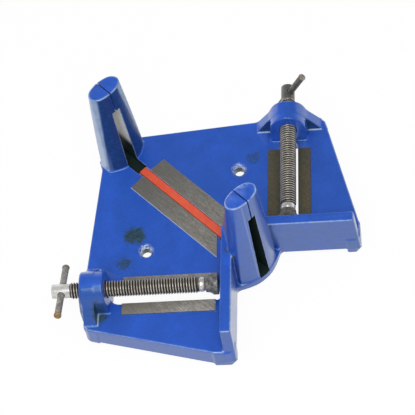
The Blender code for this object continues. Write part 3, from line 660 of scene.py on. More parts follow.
def enamel():
    """Glossy blue enamel on cast iron: wavy, mottled and grimy in spots, with painted shade in corners,
    recesses, shaded faces, bench holes and saw slots. Edges are worn and carry painted highlight, as do post
    ends, fillets and joints; the countersinks are chipped with a painted highlight, and the back slot's upper
    wall is bare with painted light."""
    f = Finish("blue_enamel", gloss=0.55)
    f.shader.inputs["Specular Tint"].default_value = (0.30, 1.0, 0.88, 1.0)
    f.shader.inputs["Coat Roughness"].default_value = 0.27
    f.shader.inputs["Coat IOR"].default_value = 1.65
    cloud = f.uneven(38.0)
    mottle = f.uneven(250.0, 0.25, 0.75)
    fleck = f.uneven(800.0, 0.35, 0.7)
    blue = f.blend(cloud, (0.0060, 0.058, 0.44), (0.0085, 0.090, 0.70))
    blue = f.blend(f.math("MULTIPLY", f.uneven(11.0, 0.42, 0.62), 0.45), blue, (0.0075, 0.052, 0.35))
    blue = f.blend(f.math("MULTIPLY", mottle, 0.45), blue, (0.006, 0.045, 0.33))
    blue = f.blend(f.math("MULTIPLY", fleck, 0.60), blue, (0.020, 0.125, 0.66))
    # Painted shade: ambient occlusion darkens corners and recesses towards dark navy, and so do the faces of
    # the shade mark.
    corner = f.add("ShaderNodeAmbientOcclusion", {"samples": 6, "only_local": True}, Distance=0.012)
    corner = corner.outputs["AO"]
    corner = f.math("MULTIPLY", f.math("SUBTRACT", 0.74, corner), 2.2, True)
    corner = f.math("MULTIPLY", corner, f.uneven(120.0, 0.36, 0.62), True)
    shade = f.math("MAXIMUM", corner, f.math("MULTIPLY", f.stored("shade"), f.uneven(200.0, 0.0, 0.5), True))
    colour = f.blend(f.math("MULTIPLY", shade, 0.85), blue, (0.006, 0.018, 0.060))
    soil = 0.0
    for (p, q), radius, weight in (((-117.0, -30.5), 0.0105, 0.80), ((-105.5, 7.0), 0.0160, 1.00),
                                   ((-142.5, -103.5), 0.0095, 0.90), ((32.5, 108.8), 0.0085, 0.50)):
        centre = ((p + q) / R2 * MM, (q - p) / R2 * MM, 0.0)
        soil = f.math("MAXIMUM", f.math("MULTIPLY", f.spot(centre, radius, 0.020), weight), soil)
    soil = f.math("MULTIPLY", soil, f.uneven(210.0, 0.02, 0.46), True)
    olive = f.blend(f.uneven(330.0, 0.42, 0.66), (0.014, 0.034, 0.080), (0.046, 0.066, 0.050))
    colour = f.blend(soil, colour, olive)
    # Lightened to light blue: the edge mark is edge wear with painted highlight lines, the other mark is
    # painted highlight only.
    worn = f.math("MULTIPLY", f.stored("edge"), f.span(f.uneven(150.0, 0.34, 0.56), 0.35, 1.0), True)
    worn = f.math("MAXIMUM", worn, f.math("MULTIPLY", f.stored("painted_highlight"), f.span(f.uneven(90.0), 0.7, 1.0)))
    colour = f.blend(worn, colour, (0.52, 0.66, 0.92))
    apart = f.add("ShaderNodeSeparateXYZ", Vector=f.place)
    across = f.math("ABSOLUTE", apart.outputs["X"], 0.0)
    height = f.add("ShaderNodeMapRange", Value=apart.outputs["Z"], From_Min=SLIT_LOW * MM,
                   From_Max=APRON_TOP * MM,
                   To_Min=(SLOT_HALF + 0.15) * MM, To_Max=(SLOT_LOW_HALF + 0.15) * MM).outputs[0]
    # Painted shade in the saw slots: their insides are painted near black, and the back slot's upper wall is
    # bare iron lightened with painted light.
    in_slot = f.math("LESS_THAN", across, height)
    for way, axis, level in (("GREATER_THAN", "Z", APRON_TOP - 0.5), ("LESS_THAN", "Z", SLIT_LOW + 0.5)):
        in_slot = f.math("MULTIPLY", in_slot, f.math(way, apart.outputs[axis], level * MM))
    beyond = f.math("GREATER_THAN", apart.outputs["Y"], 142.0 * MM)
    before = f.math("LESS_THAN", apart.outputs["Y"], 1.8 * MM)
    in_slot = f.math("MULTIPLY", in_slot, f.math("ADD", beyond, before))
    lit = f.add("ShaderNodeMapRange", Value=apart.outputs["Z"], From_Min=0.052, From_Max=0.064).outputs[0]
    lit = f.math("MULTIPLY", f.math("MULTIPLY", lit, beyond), f.uneven(300.0, 0.1, 0.4), True)
    colour = f.blend(in_slot, colour, f.blend(lit, (0.010, 0.0095, 0.011), (0.88, 0.86, 0.83)))
    nick = f.math("ABSOLUTE", f.math("ADD", apart.outputs["X"], -NICK_X * MM), 0.0)
    nick = f.math("LESS_THAN", nick, f.span(f.uneven(400.0), 0.3 * MM, 1.2 * MM))
    for way, axis, level in (("GREATER_THAN", "Z", 61.5), ("LESS_THAN", "Z", 67.0), ("LESS_THAN", "Y", -33.0),
                             ("GREATER_THAN", "Y", -50.0)):
        nick = f.math("MULTIPLY", nick, f.math(way, apart.outputs[axis], level * MM))
    grime = f.blend(f.uneven(500.0, 0.4, 0.7), (0.012, 0.018, 0.010), (0.10, 0.14, 0.07))
    colour = f.blend(nick, colour, grime)
    for sign in (-1, 1):
        middle = place(sign, HOLE_P, HOLE_Q + ARM, 0.0)
        far = tuple((middle + (1.0, 1.6, 0.0)) * MM)
        # Chipped paint with a painted highlight on the far side of each countersink.
        chips_and_highlight = f.math("MULTIPLY", f.spot(far, (SINK_R + 0.6) * MM, 0.004), f.uneven(380.0, 0.40, 0.60), True)
        colour = f.blend(chips_and_highlight, colour, (0.62, 0.68, 0.78))
        # Painted shade: inside each bench hole is painted near black.
        hole = f.spot(tuple(middle * MM), (HOLE_R + 0.30) * MM, 0.0)
        colour = f.blend(f.math("GREATER_THAN", hole, 0.05), colour, (0.016, 0.014, 0.011))
    f.set("Base Color", colour)
    dull_or_shaded = f.math("MAXIMUM", f.math("MULTIPLY", f.math("MAXIMUM", shade, soil), 0.7), in_slot)
    f.set("Coat Weight", f.span(dull_or_shaded, 0.92, 0.0))
    f.set("Roughness", f.math("ADD", f.span(cloud, 0.28, 0.40), f.math("MULTIPLY", dull_or_shaded, 0.4)))
    f.relief(75.0, 620.0, 0.00035, 0.000040)
    return f.material


def milled_iron(name, light, dark, rust, gradient=None):
    """Bare milled iron that has browned: streaks along the cutter's way, oil and rust clouds, and rims
    lightened as a painted highlight.

    A gradient is a way, two places along it in metres and the share of the dark that they take."""
    f = Finish(name, metallic=0.25)
    streak = f.uneven((900.0, 60.0, 200.0), 0.38, 0.62)
    cloud = f.uneven(70.0, 0.38, 0.62)
    speck = f.uneven(420.0, 0.46, 0.66)
    colour = f.blend(f.math("MULTIPLY", streak, 0.75), light, dark)
    colour = f.blend(f.math("MULTIPLY", cloud, 0.55), colour, rust)
    colour = f.blend(f.math("MULTIPLY", speck, 0.45), colour, tuple(0.45 * c for c in dark))
    if gradient:
        way, start, stop = gradient
        along = f.add("ShaderNodeVectorMath", {"operation": "DOT_PRODUCT"}, i0=f.place, i1=way).outputs["Value"]
        share = f.add("ShaderNodeMapRange", Value=along, From_Min=start, From_Max=stop, To_Min=0.75, To_Max=0.0)
        colour = f.blend(share.outputs[0], colour, dark)
    # Painted highlight: the rims are lightened to a bluish white and made less metallic.
    colour = f.blend(f.stored("rim"), colour, (0.80, 0.86, 0.92))
    f.set("Base Color", colour)
    f.set("Metallic", f.span(f.stored("rim"), 0.25, 0.0))
    f.set("Roughness", f.span(cloud, 0.42, 0.62))
    f.relief((1400.0, 90.0, 200.0), 500.0, 0.00003, 0.00002)
    return f.material


def thread_steel(name, head, metallic):
    """Turned steel screw: worn crests, darker towards the roots, a collar lightened with a painted highlight
    and a plain head.
    """
    f = Finish(name)
    root = f.stored("root")
    bright = f.stored("bright")
    stain = f.uneven(140.0, 0.35, 0.7)
    colour = f.blend(stain, (0.70, 0.66, 0.58), (0.44, 0.39, 0.32))
    # Painted highlight: the collar is lightened towards white in patches.
    colour = f.blend(f.math("MULTIPLY", bright, f.uneven(260.0, 0.2, 0.6), True), colour, (0.86, 0.85, 0.82))
    smudge = f.math("MULTIPLY", f.uneven(150.0, 0.30, 0.75), 0.6)
    colour = f.blend(f.stored("head"), colour, f.blend(smudge, head, tuple(0.45 * c for c in head)))
    colour = f.blend(f.math("MULTIPLY", root, 0.95), colour, (0.022, 0.018, 0.013))
    f.set("Base Color", colour)
    f.set("Metallic", f.span(f.stored("head"), 0.7, metallic))
    rough = f.span(stain, 0.26, 0.38)
    f.set("Roughness", f.math("ADD", rough, f.math("MULTIPLY", root, 0.35)))
    f.relief(300.0, 1500.0, 0.00004, 0.00002)
    return f.material


def worn_steel(name, light, dark, spot, rough, metallic=0.6):
    """Handled steel: grey with brown clouds, dark pits, small dents and fine scratches."""
    f = Finish(name, metallic=metallic)
    cloud = f.uneven(130.0, 0.32, 0.68)
    speck = f.uneven(520.0, 0.46, 0.68)
    colour = f.blend(cloud, light, dark)
    colour = f.blend(f.math("MULTIPLY", speck, 0.6), colour, spot)
    f.set("Base Color", colour)
    f.set("Roughness", f.span(cloud, rough, rough + 0.16))
    f.relief(190.0, 900.0, 0.00014, 0.00004)
    return f.material


def red_fibre():
    """Red-orange wear strip: satin, faintly mottled, scuffed paler in streaks along its length."""
    f = Finish("red_fibre")
    cloud = f.uneven(90.0, 0.3, 0.7)
    scuff = f.uneven((700.0, 60.0, 300.0), 0.55, 0.8)
    colour = f.blend(cloud, (0.70, 0.075, 0.030), (0.78, 0.105, 0.045))
    colour = f.blend(f.math("MULTIPLY", scuff, 0.45), colour, (0.85, 0.24, 0.13))
    f.set("Base Color", colour)
    f.set("Roughness", f.span(scuff, 0.42, 0.60))
    f.relief(120.0, 700.0, 0.00012, 0.00004)
    return f.material


ENAMEL, RED = enamel(), red_fibre()
# The left head is a lit copy and the right head a shaded copy of the same plain steel: painted light and shade.
THREAD = {"left": thread_steel("thread_steel_left", (0.84, 0.83, 0.80), 0.35),
          "right": thread_steel("thread_steel_right", (0.20, 0.195, 0.175), 0.5)}
# The left arm's pads are a lit copy and the right arm's a shaded copy of one milled iron: painted light and
# shade.
IRON = {"left": milled_iron("milled_iron_left", (0.60, 0.58, 0.54), (0.175, 0.165, 0.14), (0.26, 0.23, 0.18),
                            ((1.0 / R2, -1.0 / R2, 0.0), -0.105, -0.020)),
        "right": milled_iron("milled_iron_right", (0.115, 0.110, 0.072), (0.075, 0.072, 0.048),
                              (0.135, 0.100, 0.050)),
        "saw": milled_iron("milled_iron_saw", (0.41, 0.40, 0.37), (0.135, 0.132, 0.118), (0.25, 0.215, 0.17),
                           ((0.0, -1.0, 0.0), -0.110, -0.010))}
PITS = (0.075, 0.060, 0.042)
# The left bar is a lit copy and the right bar a shaded copy of the same steel: painted light and shade.
BAR_STEEL = {"left": worn_steel("bar_steel_left", (0.52, 0.49, 0.455), (0.27, 0.245, 0.21), PITS, 0.42),
             "right": worn_steel("bar_steel_right", (0.25, 0.245, 0.22), (0.12, 0.115, 0.095), PITS, 0.42)}
CAP_STEEL = worn_steel("cap_steel", (0.50, 0.475, 0.43), (0.30, 0.26, 0.20), PITS, 0.40)
RUSTED_CAP = worn_steel("rusted_cap_steel", (0.50, 0.30, 0.13), (0.24, 0.15, 0.075), (0.07, 0.045, 0.03), 0.50,
                        0.3)
# The left shoe is a lit copy with painted highlight and the right shoe a shaded copy of the same steel.
SHOE_STEEL = {"left": worn_steel("shoe_steel_left", (0.36, 0.37, 0.36), (0.13, 0.13, 0.125), PITS, 0.34),
              "right": worn_steel("shoe_steel_right", (0.22, 0.215, 0.195), (0.09, 0.085, 0.072), PITS, 0.40)}


def finish(piece, material, body, slot, *nodes):
    """Gives a piece its material and its body and hides the frame nodes that it stands for; its finish slot is
    not used.
    """
    piece.data.materials.clear()
    piece.data.materials.append(material)
    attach(piece, body)
    if nodes:
        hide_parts(*nodes)
    return piece


# pieces

def make_casting():
    """The casting's skin, thinned on its flat faces, with exact normals, its convex edges marked for wear and
    painted highlight, and marks of painted shade and painted highlight.
    """
    low, high = (np.array(corner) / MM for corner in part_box("base_casting"))
    pitch = 1.0
    points, faces = skin_of(casting, low - 2.5 * pitch, high + 2.5 * pitch, pitch)
    nick = np.exp(-((points[:, 0] - NICK_X) / 0.8) ** 2) * np.clip((-33.0 - points[:, 1]) / 2.0, 0.0, 1.0)
    nick *= np.clip((points[:, 1] + 52.0) / 6.0, 0.0, 1.0)
    nick *= np.clip((points[:, 2] - FENCE_TOP + 6.0) / 5.0, 0.0, 1.0)
    points[:, 2] -= 1.6 * nick * (points[:, 2] < FENCE_TOP + 0.5)
    piece = piece_from("clamp_casting", points, faces)
    most = 190000
    thin = piece.modifiers.new("thin", "DECIMATE")
    thin.ratio = min(1.0, most / (2.0 * len(faces)))
    apply_modifiers(piece)
    points = points_of(piece)
    slope = level_and_slope(casting, points)[1]
    slope /= np.maximum(np.linalg.norm(slope, axis=1), 1e-6)[:, None]
    reach = 1.5
    around = sum(casting(*(points + reach * s * axis).T) for axis in np.eye(3) for s in (-1, 1)) / 6.0
    bend = (around - casting(*points.T)) / reach
    x, y, z = -np.abs(points[:, 0]), points[:, 1], points[:, 2]
    p, v = (x - y) / R2, (x + y) / R2 + ARM
    on_pad = (z > PLATE + 0.35) & (z < PAD + 0.3) & (p > PAD_FAR - 1.0) & (p < PAD_NEAR + 1.0)
    on_pad &= np.abs(v) < PAD_HALF + 1.0
    # Edge mark: edge wear on convex edges, strengthened into painted highlight lines at the plate, fence-top
    # and post-top levels, the boss's inner edge, beside the groove and along the rims of post tops, fence tops
    # and the plate.
    lines = sum(np.exp(-((z - level) / 2.2) ** 2) for level in (PLATE, FENCE_TOP, TOP))
    lines = np.maximum(np.clip(lines, 0.0, 1.0), np.exp(-((p + BOSS_IN + 0.13 * (z - PLATE)) / 3.0) ** 2))
    lines = np.maximum(lines, 0.7 * (np.abs(np.abs(x) - 6.5) < 2.6))
    beside = guide_post(x, y, z - 4.0, *FRONT_POST)
    beside = np.where(y > 60.0, guide_post(x, y, z - 4.0, *BACK_POST), beside)
    rim = np.exp(-((beside + 0.2) ** 2 + (z - TOP) ** 2) / 1.2)
    q = v - ARM
    for gap, level in ((np.where(q > -FENCE_L, p - FENCE_T, 9.0), FENCE_TOP),
                       (np.where((p > 0.0) & (p < FENCE_T), q + FENCE_L, 9.0), FENCE_TOP),
                       (np.where(q < -FENCE_T, outline(p, q, HALF_PLATE), 9.0), PLATE)):
        rim = np.maximum(rim, 0.85 * np.exp(-(gap ** 2 + (z - level) ** 2) / 0.9))
    convex = np.clip((bend - 0.15) / 0.15, 0.0, 1.0)
    mark(piece, "edge", np.maximum(convex * (0.3 + 0.7 * lines) * ~on_pad, rim))
    # Shade mark, all painted shade: the sides of the arm pads, the end walls' inner faces, the back post's
    # front faces and the near side of the left boss.
    mirrored = np.where(points[:, 0] > 0.0, -slope[:, 0], slope[:, 0])
    facing = (mirrored - slope[:, 1]) / R2
    inner = (facing > 0.6) & (np.abs(p + 146.8) < 2.6) & (np.abs(v) > 18.0) & (z > PLATE + 0.8)
    inner &= (points[:, 0] > 0.0) | (v < 0.0)
    dull_or_shaded = 0.85 * (y > 140.0) * (slope[:, 1] < -0.3) * (z > PLATE + 2.0)
    dull_or_shaded = np.maximum(dull_or_shaded, 0.35 * (points[:, 0] < 0.0) * (p < -BOSS_IN + 3.0) * (v < -8.0) * (z > PLATE + 2.0))
    mark(piece, "shade", np.maximum(np.maximum(inner, on_pad), dull_or_shaded) * 1.0)
    # Painted highlight: bands on the back post's end faces, a line left of the front post's slot, lines on the
    # fillets at the end walls' feet and where the front post meets fence B, and the saw pads' outer sides,
    # which are also worn bare.
    half = POST_HALF + (POST_LOW_HALF - POST_HALF) * np.clip((TOP - z) / (TOP - WEB), 0.0, 1.0)
    side = np.clip((np.abs(slope[:, 0]) - 0.55) / 0.2, 0.0, 1.0) * (z > PLATE + 1.0) * (z < TOP - 1.0)
    painted_highlight = 0.75 * side * np.clip((np.abs(x) - half + 6.0) / 1.5, 0.0, 1.0) * (y > 140.0)
    reach = 3.0 + 8.0 * np.clip((z - 45.0) / 100.0, 0.0, 1.0)
    band = np.clip((points[:, 0] - half + reach) / 2.0, 0.0, 1.0) * np.clip((z - 40.0) / 14.0, 0.0, 1.0)
    painted_highlight = np.maximum(painted_highlight, 0.8 * band * (y > 140.0) * (z < TOP - 1.0))
    ridge = np.exp(-((points[:, 0] + 9.3 - 0.6 * (TOP - z) / TOP) / 0.9) ** 2) * (y < POST_F - 5.0)
    painted_highlight = np.maximum(painted_highlight, 0.35 * ridge * (z > APRON_TOP + 2.0) * (z < TOP - 2.0))
    foot = np.exp(-((p + 145.0) / 0.9) ** 2 - ((z - PLATE - 0.3) / 0.8) ** 2)
    foot = foot * (np.abs(v) > 21.0) * (np.abs(v) < 38.5)
    joint = np.exp(-((x + y + R2 * (60.0 + 0.06 * (FENCE_TOP - z))) / 1.3) ** 2) * (points[:, 0] > 0.0)
    joint *= (facing > 0.5) * (p > 11.0) * (z > APRON_TOP + 1.0) * (z < FENCE_TOP)
    pad_side = (np.abs(x + SAW_PAD_HALF) < 0.7) & (z > PLATE + 0.2) & (y > -14.0) & (y < SAW_PAD_END)
    for found, weight in ((foot, 0.9), (joint, 0.6), (pad_side, 1.0)):
        painted_highlight = np.maximum(painted_highlight, weight * found)
    mark(piece, "painted_highlight", painted_highlight)
    piece.data.shade_smooth()
    piece.data.normals_split_custom_set_from_vertices(slope.tolist())
    return finish(piece, ENAMEL, "base", "enamel", "base_casting")


def slab(name, corners, low, high):
    """Flat plate over a four-sided outline with small eased edges."""
    count = len(corners)
    points = np.array([(x, y, h) for h in (low, high) for x, y in corners])
    mesh = bpy.data.meshes.new(name)
    faces = [tuple(range(count - 1, -1, -1)), tuple(range(count, 2 * count))]
    faces += [(i, (i + 1) % count, count + (i + 1) % count, count + i) for i in range(count)]
    mesh.from_pydata((points * MM).tolist(), [], faces)
    bm = bmesh.new()
    bm.from_mesh(mesh)
    bmesh.ops.recalc_face_normals(bm, faces=bm.faces)
    bm.to_mesh(mesh)
    bm.free()
    piece = bpy.data.objects.new(name, mesh)
    bpy.context.scene.collection.objects.link(piece)
    return piece


def ease(piece, width, segments=3):
    """Bevel on all the edges sharper than 40 degrees."""
    bevel = piece.modifiers.new("ease", "BEVEL")
    bevel.width = width * MM
    bevel.segments = segments
    bevel.limit_method = "ANGLE"
    bevel.angle_limit = math.radians(40.0)
    apply_modifiers(piece)
    smooth(piece, 40.0)
    height = points_of(piece)[:, 2]
    # The rim mark covers the faces below the top; milled_iron paints a highlight there.
    mark(piece, "rim", 1.0 * (height < height.max() - 0.5 * width))


def make_pads():
    """Milled skins: two strips beside each arm's slot and two beside the saw groove."""
    for side, sign in SIDES.items():
        for name, v0, v1 in (("outer", -PAD_HALF, -ARM_SLOT_HALF - 0.1),
                             ("inner", ARM_SLOT_HALF + 0.1, PAD_HALF)):
            u0, u1 = PAD_FAR + SKIN_INSET, PAD_NEAR - SKIN_INSET
            v0 += SKIN_INSET * (name == "outer")
            v1 -= SKIN_INSET * (name == "inner")
            corners = [place(sign, u, v, 0.0)[:2] for u, v in ((u0, v0), (u1, v0), (u1, v1), (u0, v1))]
            pad = slab("milled_pad_%s_%s" % (side, name), corners, PAD - 0.6, PAD)
            ease(pad, 0.15, 2)
            pad.data.attributes.remove(pad.data.attributes["rim"])
            finish(pad, IRON[side], "base", "steel")
        inner, outer = GROOVE_HALF + 0.1, SAW_PAD_HALF - SKIN_INSET
        corners = [(sign * outer, SAW_PAD_END - 0.4 - SKIN_INSET),
                   (sign * inner, SAW_PAD_END + 0.4 - SKIN_INSET),
                   (sign * inner, 12.7 - inner + SKIN_INSET), (sign * outer, 12.7 - outer + SKIN_INSET)]
        pad = slab("milled_saw_pad_" + side, corners, PAD - 1.0, PAD)
        ease(pad, 0.4, 3)
        finish(pad, IRON["saw"], "base", "steel")


def make_strip():
    """Wear strip in the groove: its section, a flat with turned edges, is carried along the saw line."""
    low, high = (np.array(corner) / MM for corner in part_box("saw_strip"))
    corners = [(low[0], low[1]), (high[0], low[1]), (high[0], high[1]), (low[0], high[1])]
    strip = slab("wear_strip", corners, low[2], high[2])
    ease(strip, 0.6, 4)
    return finish(strip, RED, "base", "strip", "saw_strip")


def make_screw(side, sign):
    """Screw: plain head, thread, smooth collar, neck and ball.

    In the thread the radius is root + depth times a soft tooth of the phase u / pitch - t / (2 pi)."""
    sides, rows_a_turn = 72, 14
    turn = np.arange(sides) / sides
    head = eased([(HEAD_U0, 0.0), (HEAD_U0, HEAD_R), (THREAD_U0 - 0.6, HEAD_R), (THREAD_U0, THREAD_ROOT)], 0.8)
    u = np.linspace(THREAD_U0, THREAD_U1, int((THREAD_U1 - THREAD_U0) / PITCH * rows_a_turn))
    phase = (u[:, None] - THREAD_U0) / PITCH - turn
    tooth = 1.0 - np.abs(2.0 * (phase - np.floor(phase)) - 1.0)
    tooth = np.clip(1.5 * tooth - 0.25, 0.0, 1.0)
    tooth = tooth * tooth * (3.0 - 2.0 * tooth)
    fade = np.clip((u - THREAD_U0) / 2.5, 0.0, 1.0) * np.clip((THREAD_U1 - u) / 3.0, 0.0, 1.0)
    thread = THREAD_ROOT + (THREAD_R - THREAD_ROOT) * tooth * fade[:, None]
    shank = [(THREAD_U1 + share * COLLAR_L, r)
             for share, r in ((0.0, THREAD_ROOT), (0.12, COLLAR_R), (0.6, COLLAR_R - 0.2),
                              (0.9, COLLAR_R - 0.8), (1.0, 0.8 * COLLAR_R), (1.0, NECK_R))]
    shank.append((THREAD_U1 + COLLAR_L + 3.2, NECK_R))
    t = np.linspace(0.25 * np.pi, np.pi, 14)
    ball = np.stack([BALL_U - BALL_R * np.cos(t), BALL_R * np.sin(t)], axis=1)
    tail = np.concatenate([eased(shank, 0.5), ball])
    flat = np.ones(sides)
    along = np.concatenate([head[1:, :1] * flat, u[:, None] * flat, tail[1:, :1] * flat])
    radius = np.concatenate([head[1:, 1:] * flat, thread, tail[1:, 1:] * flat])
    start, way = place(sign, 0.0, 0.0, AXIS), along_screw(sign)
    screw = revolved("clamp_screw_%s_turned" % side, start, way, along, radius)
    hole = turned("cross_hole", *bar_line(side, sign), [(-14.0, 0.0), (-14.0, BAR_HOLE_R), (14.0, BAR_HOLE_R),
                                                        (14.0, 0.0)], 48)
    cut = screw.modifiers.new("cross_hole", "BOOLEAN")
    cut.object = hole
    cut.operation = "DIFFERENCE"
    cut.solver = "EXACT"
    apply_modifiers(screw)
    bpy.data.objects.remove(hole)
    offset = points_of(screw) - start
    u = offset @ way
    r = np.linalg.norm(offset - u[:, None] * way, axis=1)
    threaded = (u > THREAD_U0 + 0.5) & (u < THREAD_U1 - 0.5)
    mark(screw, "root", np.clip((THREAD_R - 0.15 - r) / 0.85, 0.0, 1.0) * threaded)
    mark(screw, "bright", np.clip((u - THREAD_U1 + 1.0) / 2.0, 0.0, 1.0))
    mark(screw, "head", 1.0 * (u < THREAD_U0 - 0.3))
    smooth(screw, 50.0)
    return finish(screw, THREAD[side], side + "_screw", "steel", "clamp_screw_" + side)


def make_shoe(side, sign):
    """Swivel shoe: flared cone with a thick rim, hollow for the ball."""
    socket, neck = BALL_R + 0.455, NECK_R + 0.65
    rim = SHOE_FACE - SHOE_RIM
    t = np.linspace(0.30 * np.pi, np.pi, 12)[1:]
    outer = eased([(SHOE_FACE, 0.0), (SHOE_FACE, SHOE_R), (rim, SHOE_R), (rim - 1.6, SHOE_R - 1.5),
                   (SHOE_BACK + 4.0, SHOE_NECK_R + 0.4), (SHOE_BACK, SHOE_NECK_R), (SHOE_BACK, neck),
                   (BALL_U - 3.6, neck)], 0.9)
    inner = np.stack([BALL_U - socket * np.cos(t), np.maximum(socket * np.sin(t), 0.0)], axis=1)
    shoe = turned("swivel_shoe_%s_turned" % side, place(sign, 0.0, 0.0, AXIS), along_screw(sign),
                  np.concatenate([outer[1:], inner[:-1]])[::-1], 72)
    smooth(shoe, 40.0)
    return finish(shoe, SHOE_STEEL[side], side + "_shoe", "steel", "swivel_shoe_" + side)


def bar_line(side, sign):
    """Middle and way of the tommy bar."""
    tilt = math.radians(BAR_TILT[side])
    way = side_way(sign) * math.cos(tilt) + np.array([0.0, 0.0, math.sin(tilt)])
    return place(sign, BAR_U, 0.0, AXIS) + BAR_SHIFT[side] * way, way


def make_bar(side, sign):
    """Tommy bar, a rod a little thinner in the middle with a spigot at each end, and its two upset caps."""
    middle, way = bar_line(side, sign)
    tip = BAR_HALF + SPIGOT_L
    half = [(0.0, BAR_R - 0.12), (0.5 * BAR_HALF, BAR_R - 0.08), (0.9 * BAR_HALF, BAR_R), (BAR_HALF, BAR_R),
            (BAR_HALF, SPIGOT_R), (tip, SPIGOT_R), (tip, 0.0)]
    profile = [(-d, r) for d, r in reversed(half)] + half[1:]
    bar = turned("tommy_bar_%s_rod" % side, middle, way, eased(profile, 0.5)[1:-1], 56)
    smooth(bar, 40.0)
    finish(bar, BAR_STEEL[side], side + "_bar", "bar", "tommy_bar_" + side)
    end = BAR_HALF + CAP_GAP
    profile = [(tip + CAP_GAP, 0.0), (tip + CAP_GAP, SPIGOT_R + CAP_GAP), (end, SPIGOT_R + CAP_GAP),
               (end, CAP_R - 0.25), (end + 0.35 * CAP_L, CAP_R), (end + CAP_L - 0.9, CAP_R),
               (end + CAP_L, CAP_R - 1.4), (end + CAP_L, 0.0)]
    for name, turn in (("upper", 1.0), ("lower", -1.0)):
        cap = turned("bar_cap_%s_%s_upset" % (side, name), middle, way * turn, eased(profile, 0.45)[1:-1], 56)
        smooth(cap, 40.0)
        steel = RUSTED_CAP if (side, name) == ("left", "upper") else CAP_STEEL
        finish(cap, steel, side + "_bar", "bar", "bar_cap_%s_%s" % (side, name))


make_casting()
make_pads()
make_strip()
for side, sign in SIDES.items():
    make_screw(side, sign)
    make_shoe(side, sign)
    make_bar(side, sign)


# stage, light and camera

def seen_directly(tree):
    """1 for what the camera, a mirror or clear glass sees, 0 for light that falls on the object."""
    path = tree.nodes.new("ShaderNodeLightPath")
    first = node(tree, "ShaderNodeMath", {"operation": "MAXIMUM"}, i0=path.outputs["Is Camera Ray"],
                 i1=path.outputs["Is Glossy Ray"])
    both = node(tree, "ShaderNodeMath", {"operation": "MAXIMUM"}, i0=first.outputs[0],
                i1=path.outputs["Is Transmission Ray"])
    return both.outputs[0]


def make_floor():
    """White floor that keeps a faint shadow: mostly plain white to the eye, diffuse to the light."""
    mesh = bpy.data.meshes.new("floor")
    reach, drop = 6.0, -0.0006
    corners = [(-reach, -reach, drop), (reach, -reach, drop), (reach, reach, drop), (-reach, reach, drop)]
    mesh.from_pydata(corners, [], [(0, 1, 2, 3)])
    floor = bpy.data.objects.new("floor", mesh)
    bpy.context.scene.collection.objects.link(floor)
    material = bpy.data.materials.new("white_floor")
    material.use_nodes = True
    tree = material.node_tree
    tree.nodes.clear()
    seen = seen_directly(tree)
    tone = node(tree, "ShaderNodeMix", {"data_type": "RGBA"}, i0=seen, i6=(0.25, 0.25, 0.25, 1.0),
                i7=(0.95, 0.95, 0.95, 1.0))
    white = node(tree, "ShaderNodeBsdfDiffuse", Color=tone.outputs[2])
    glow = node(tree, "ShaderNodeEmission", Color=(1.0, 1.0, 1.0, 1.0), Strength=1.0)
    share = node(tree, "ShaderNodeMath", {"operation": "MULTIPLY"}, i0=seen, i1=0.95)
    mix = node(tree, "ShaderNodeMixShader", i0=share.outputs[0], i1=white.outputs[0], i2=glow.outputs[0])
    node(tree, "ShaderNodeOutputMaterial", Surface=mix.outputs[0])
    mesh.materials.append(material)


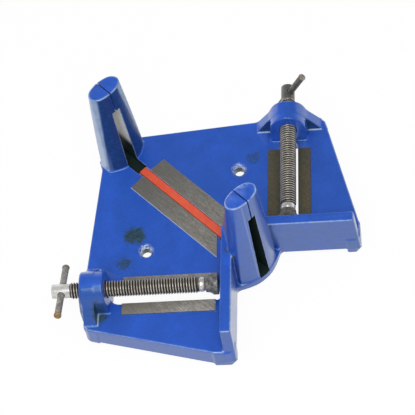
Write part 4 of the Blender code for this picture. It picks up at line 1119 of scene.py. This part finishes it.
def make_world():
    """White all round to the eye. Mirrors see white up to the horizon and a dim ceiling; the light is soft."""
    world = bpy.data.worlds.new("studio")
    bpy.context.scene.world = world
    world.use_nodes = True
    tree = world.node_tree
    tree.nodes.clear()
    way = node(tree, "ShaderNodeTexCoord")
    height = node(tree, "ShaderNodeSeparateXYZ", Vector=way.outputs["Generated"])
    rise = node(tree, "ShaderNodeMapRange", Value=height.outputs["Z"], From_Min=0.12, From_Max=0.62)
    room = node(tree, "ShaderNodeMix", {"data_type": "RGBA"}, i0=rise.outputs[0], i6=(1.0, 1.0, 1.0, 1.0),
                i7=(0.16, 0.17, 0.18, 1.0))
    path = tree.nodes.new("ShaderNodeLightPath")
    eye = node(tree, "ShaderNodeMath", {"operation": "MAXIMUM"}, i0=path.outputs["Is Camera Ray"],
               i1=path.outputs["Is Transmission Ray"])
    dome = node(tree, "ShaderNodeMapRange", Value=height.outputs["Z"], From_Min=0.0, From_Max=1.0, To_Min=0.36,
                To_Max=0.84)
    soft = node(tree, "ShaderNodeBackground", Color=(1.0, 1.0, 1.0, 1.0), Strength=dome.outputs[0])
    mirrored = node(tree, "ShaderNodeBackground", Color=room.outputs[2], Strength=1.0)
    white = node(tree, "ShaderNodeBackground", Color=(1.0, 1.0, 1.0, 1.0), Strength=1.0)
    lower = node(tree, "ShaderNodeMixShader", i0=path.outputs["Is Glossy Ray"], i1=soft.outputs[0],
                 i2=mirrored.outputs[0])
    upper = node(tree, "ShaderNodeMixShader", i0=eye.outputs[0], i1=lower.outputs[0], i2=white.outputs[0])
    node(tree, "ShaderNodeOutputWorld", Surface=upper.outputs[0])


def softbox(name, place_m, target, size, watts):
    """Square area lamp that faces a point."""
    data = bpy.data.lights.new(name, "AREA")
    data.shape = "SQUARE"
    data.size = size
    data.energy = watts
    lamp = bpy.data.objects.new(name, data)
    lamp.location = place_m
    lamp.rotation_euler = (Vector(target) - Vector(place_m)).to_track_quat("-Z", "Y").to_euler()
    bpy.context.scene.collection.objects.link(lamp)


def make_camera():
    """Camera at the photograph's place: azimuth, elevation and roll are those of the fitted view."""
    azimuth, elevation, roll = -33.67, 55.49, -12.45
    data = bpy.data.cameras.new("camera")
    data.lens = 201.62
    camera = bpy.data.objects.new("camera", data)
    turn = Matrix.Rotation(math.radians(azimuth), 4, "Z")
    turn = turn @ Matrix.Rotation(math.radians(90.0 - elevation), 4, "X")
    turn = turn @ Matrix.Rotation(math.radians(roll), 4, "Z")
    camera.matrix_world = Matrix.Translation((-0.8437, -1.2439, 2.2784)) @ turn
    bpy.context.scene.collection.objects.link(camera)
    bpy.context.scene.camera = camera


make_floor()
make_world()
softbox("softbox_top", (-0.45, -0.45, 1.25), (0.0, 0.04, 0.05), 0.85, 8.5)
make_camera()
bpy.context.scene.view_settings.view_transform = "Standard"
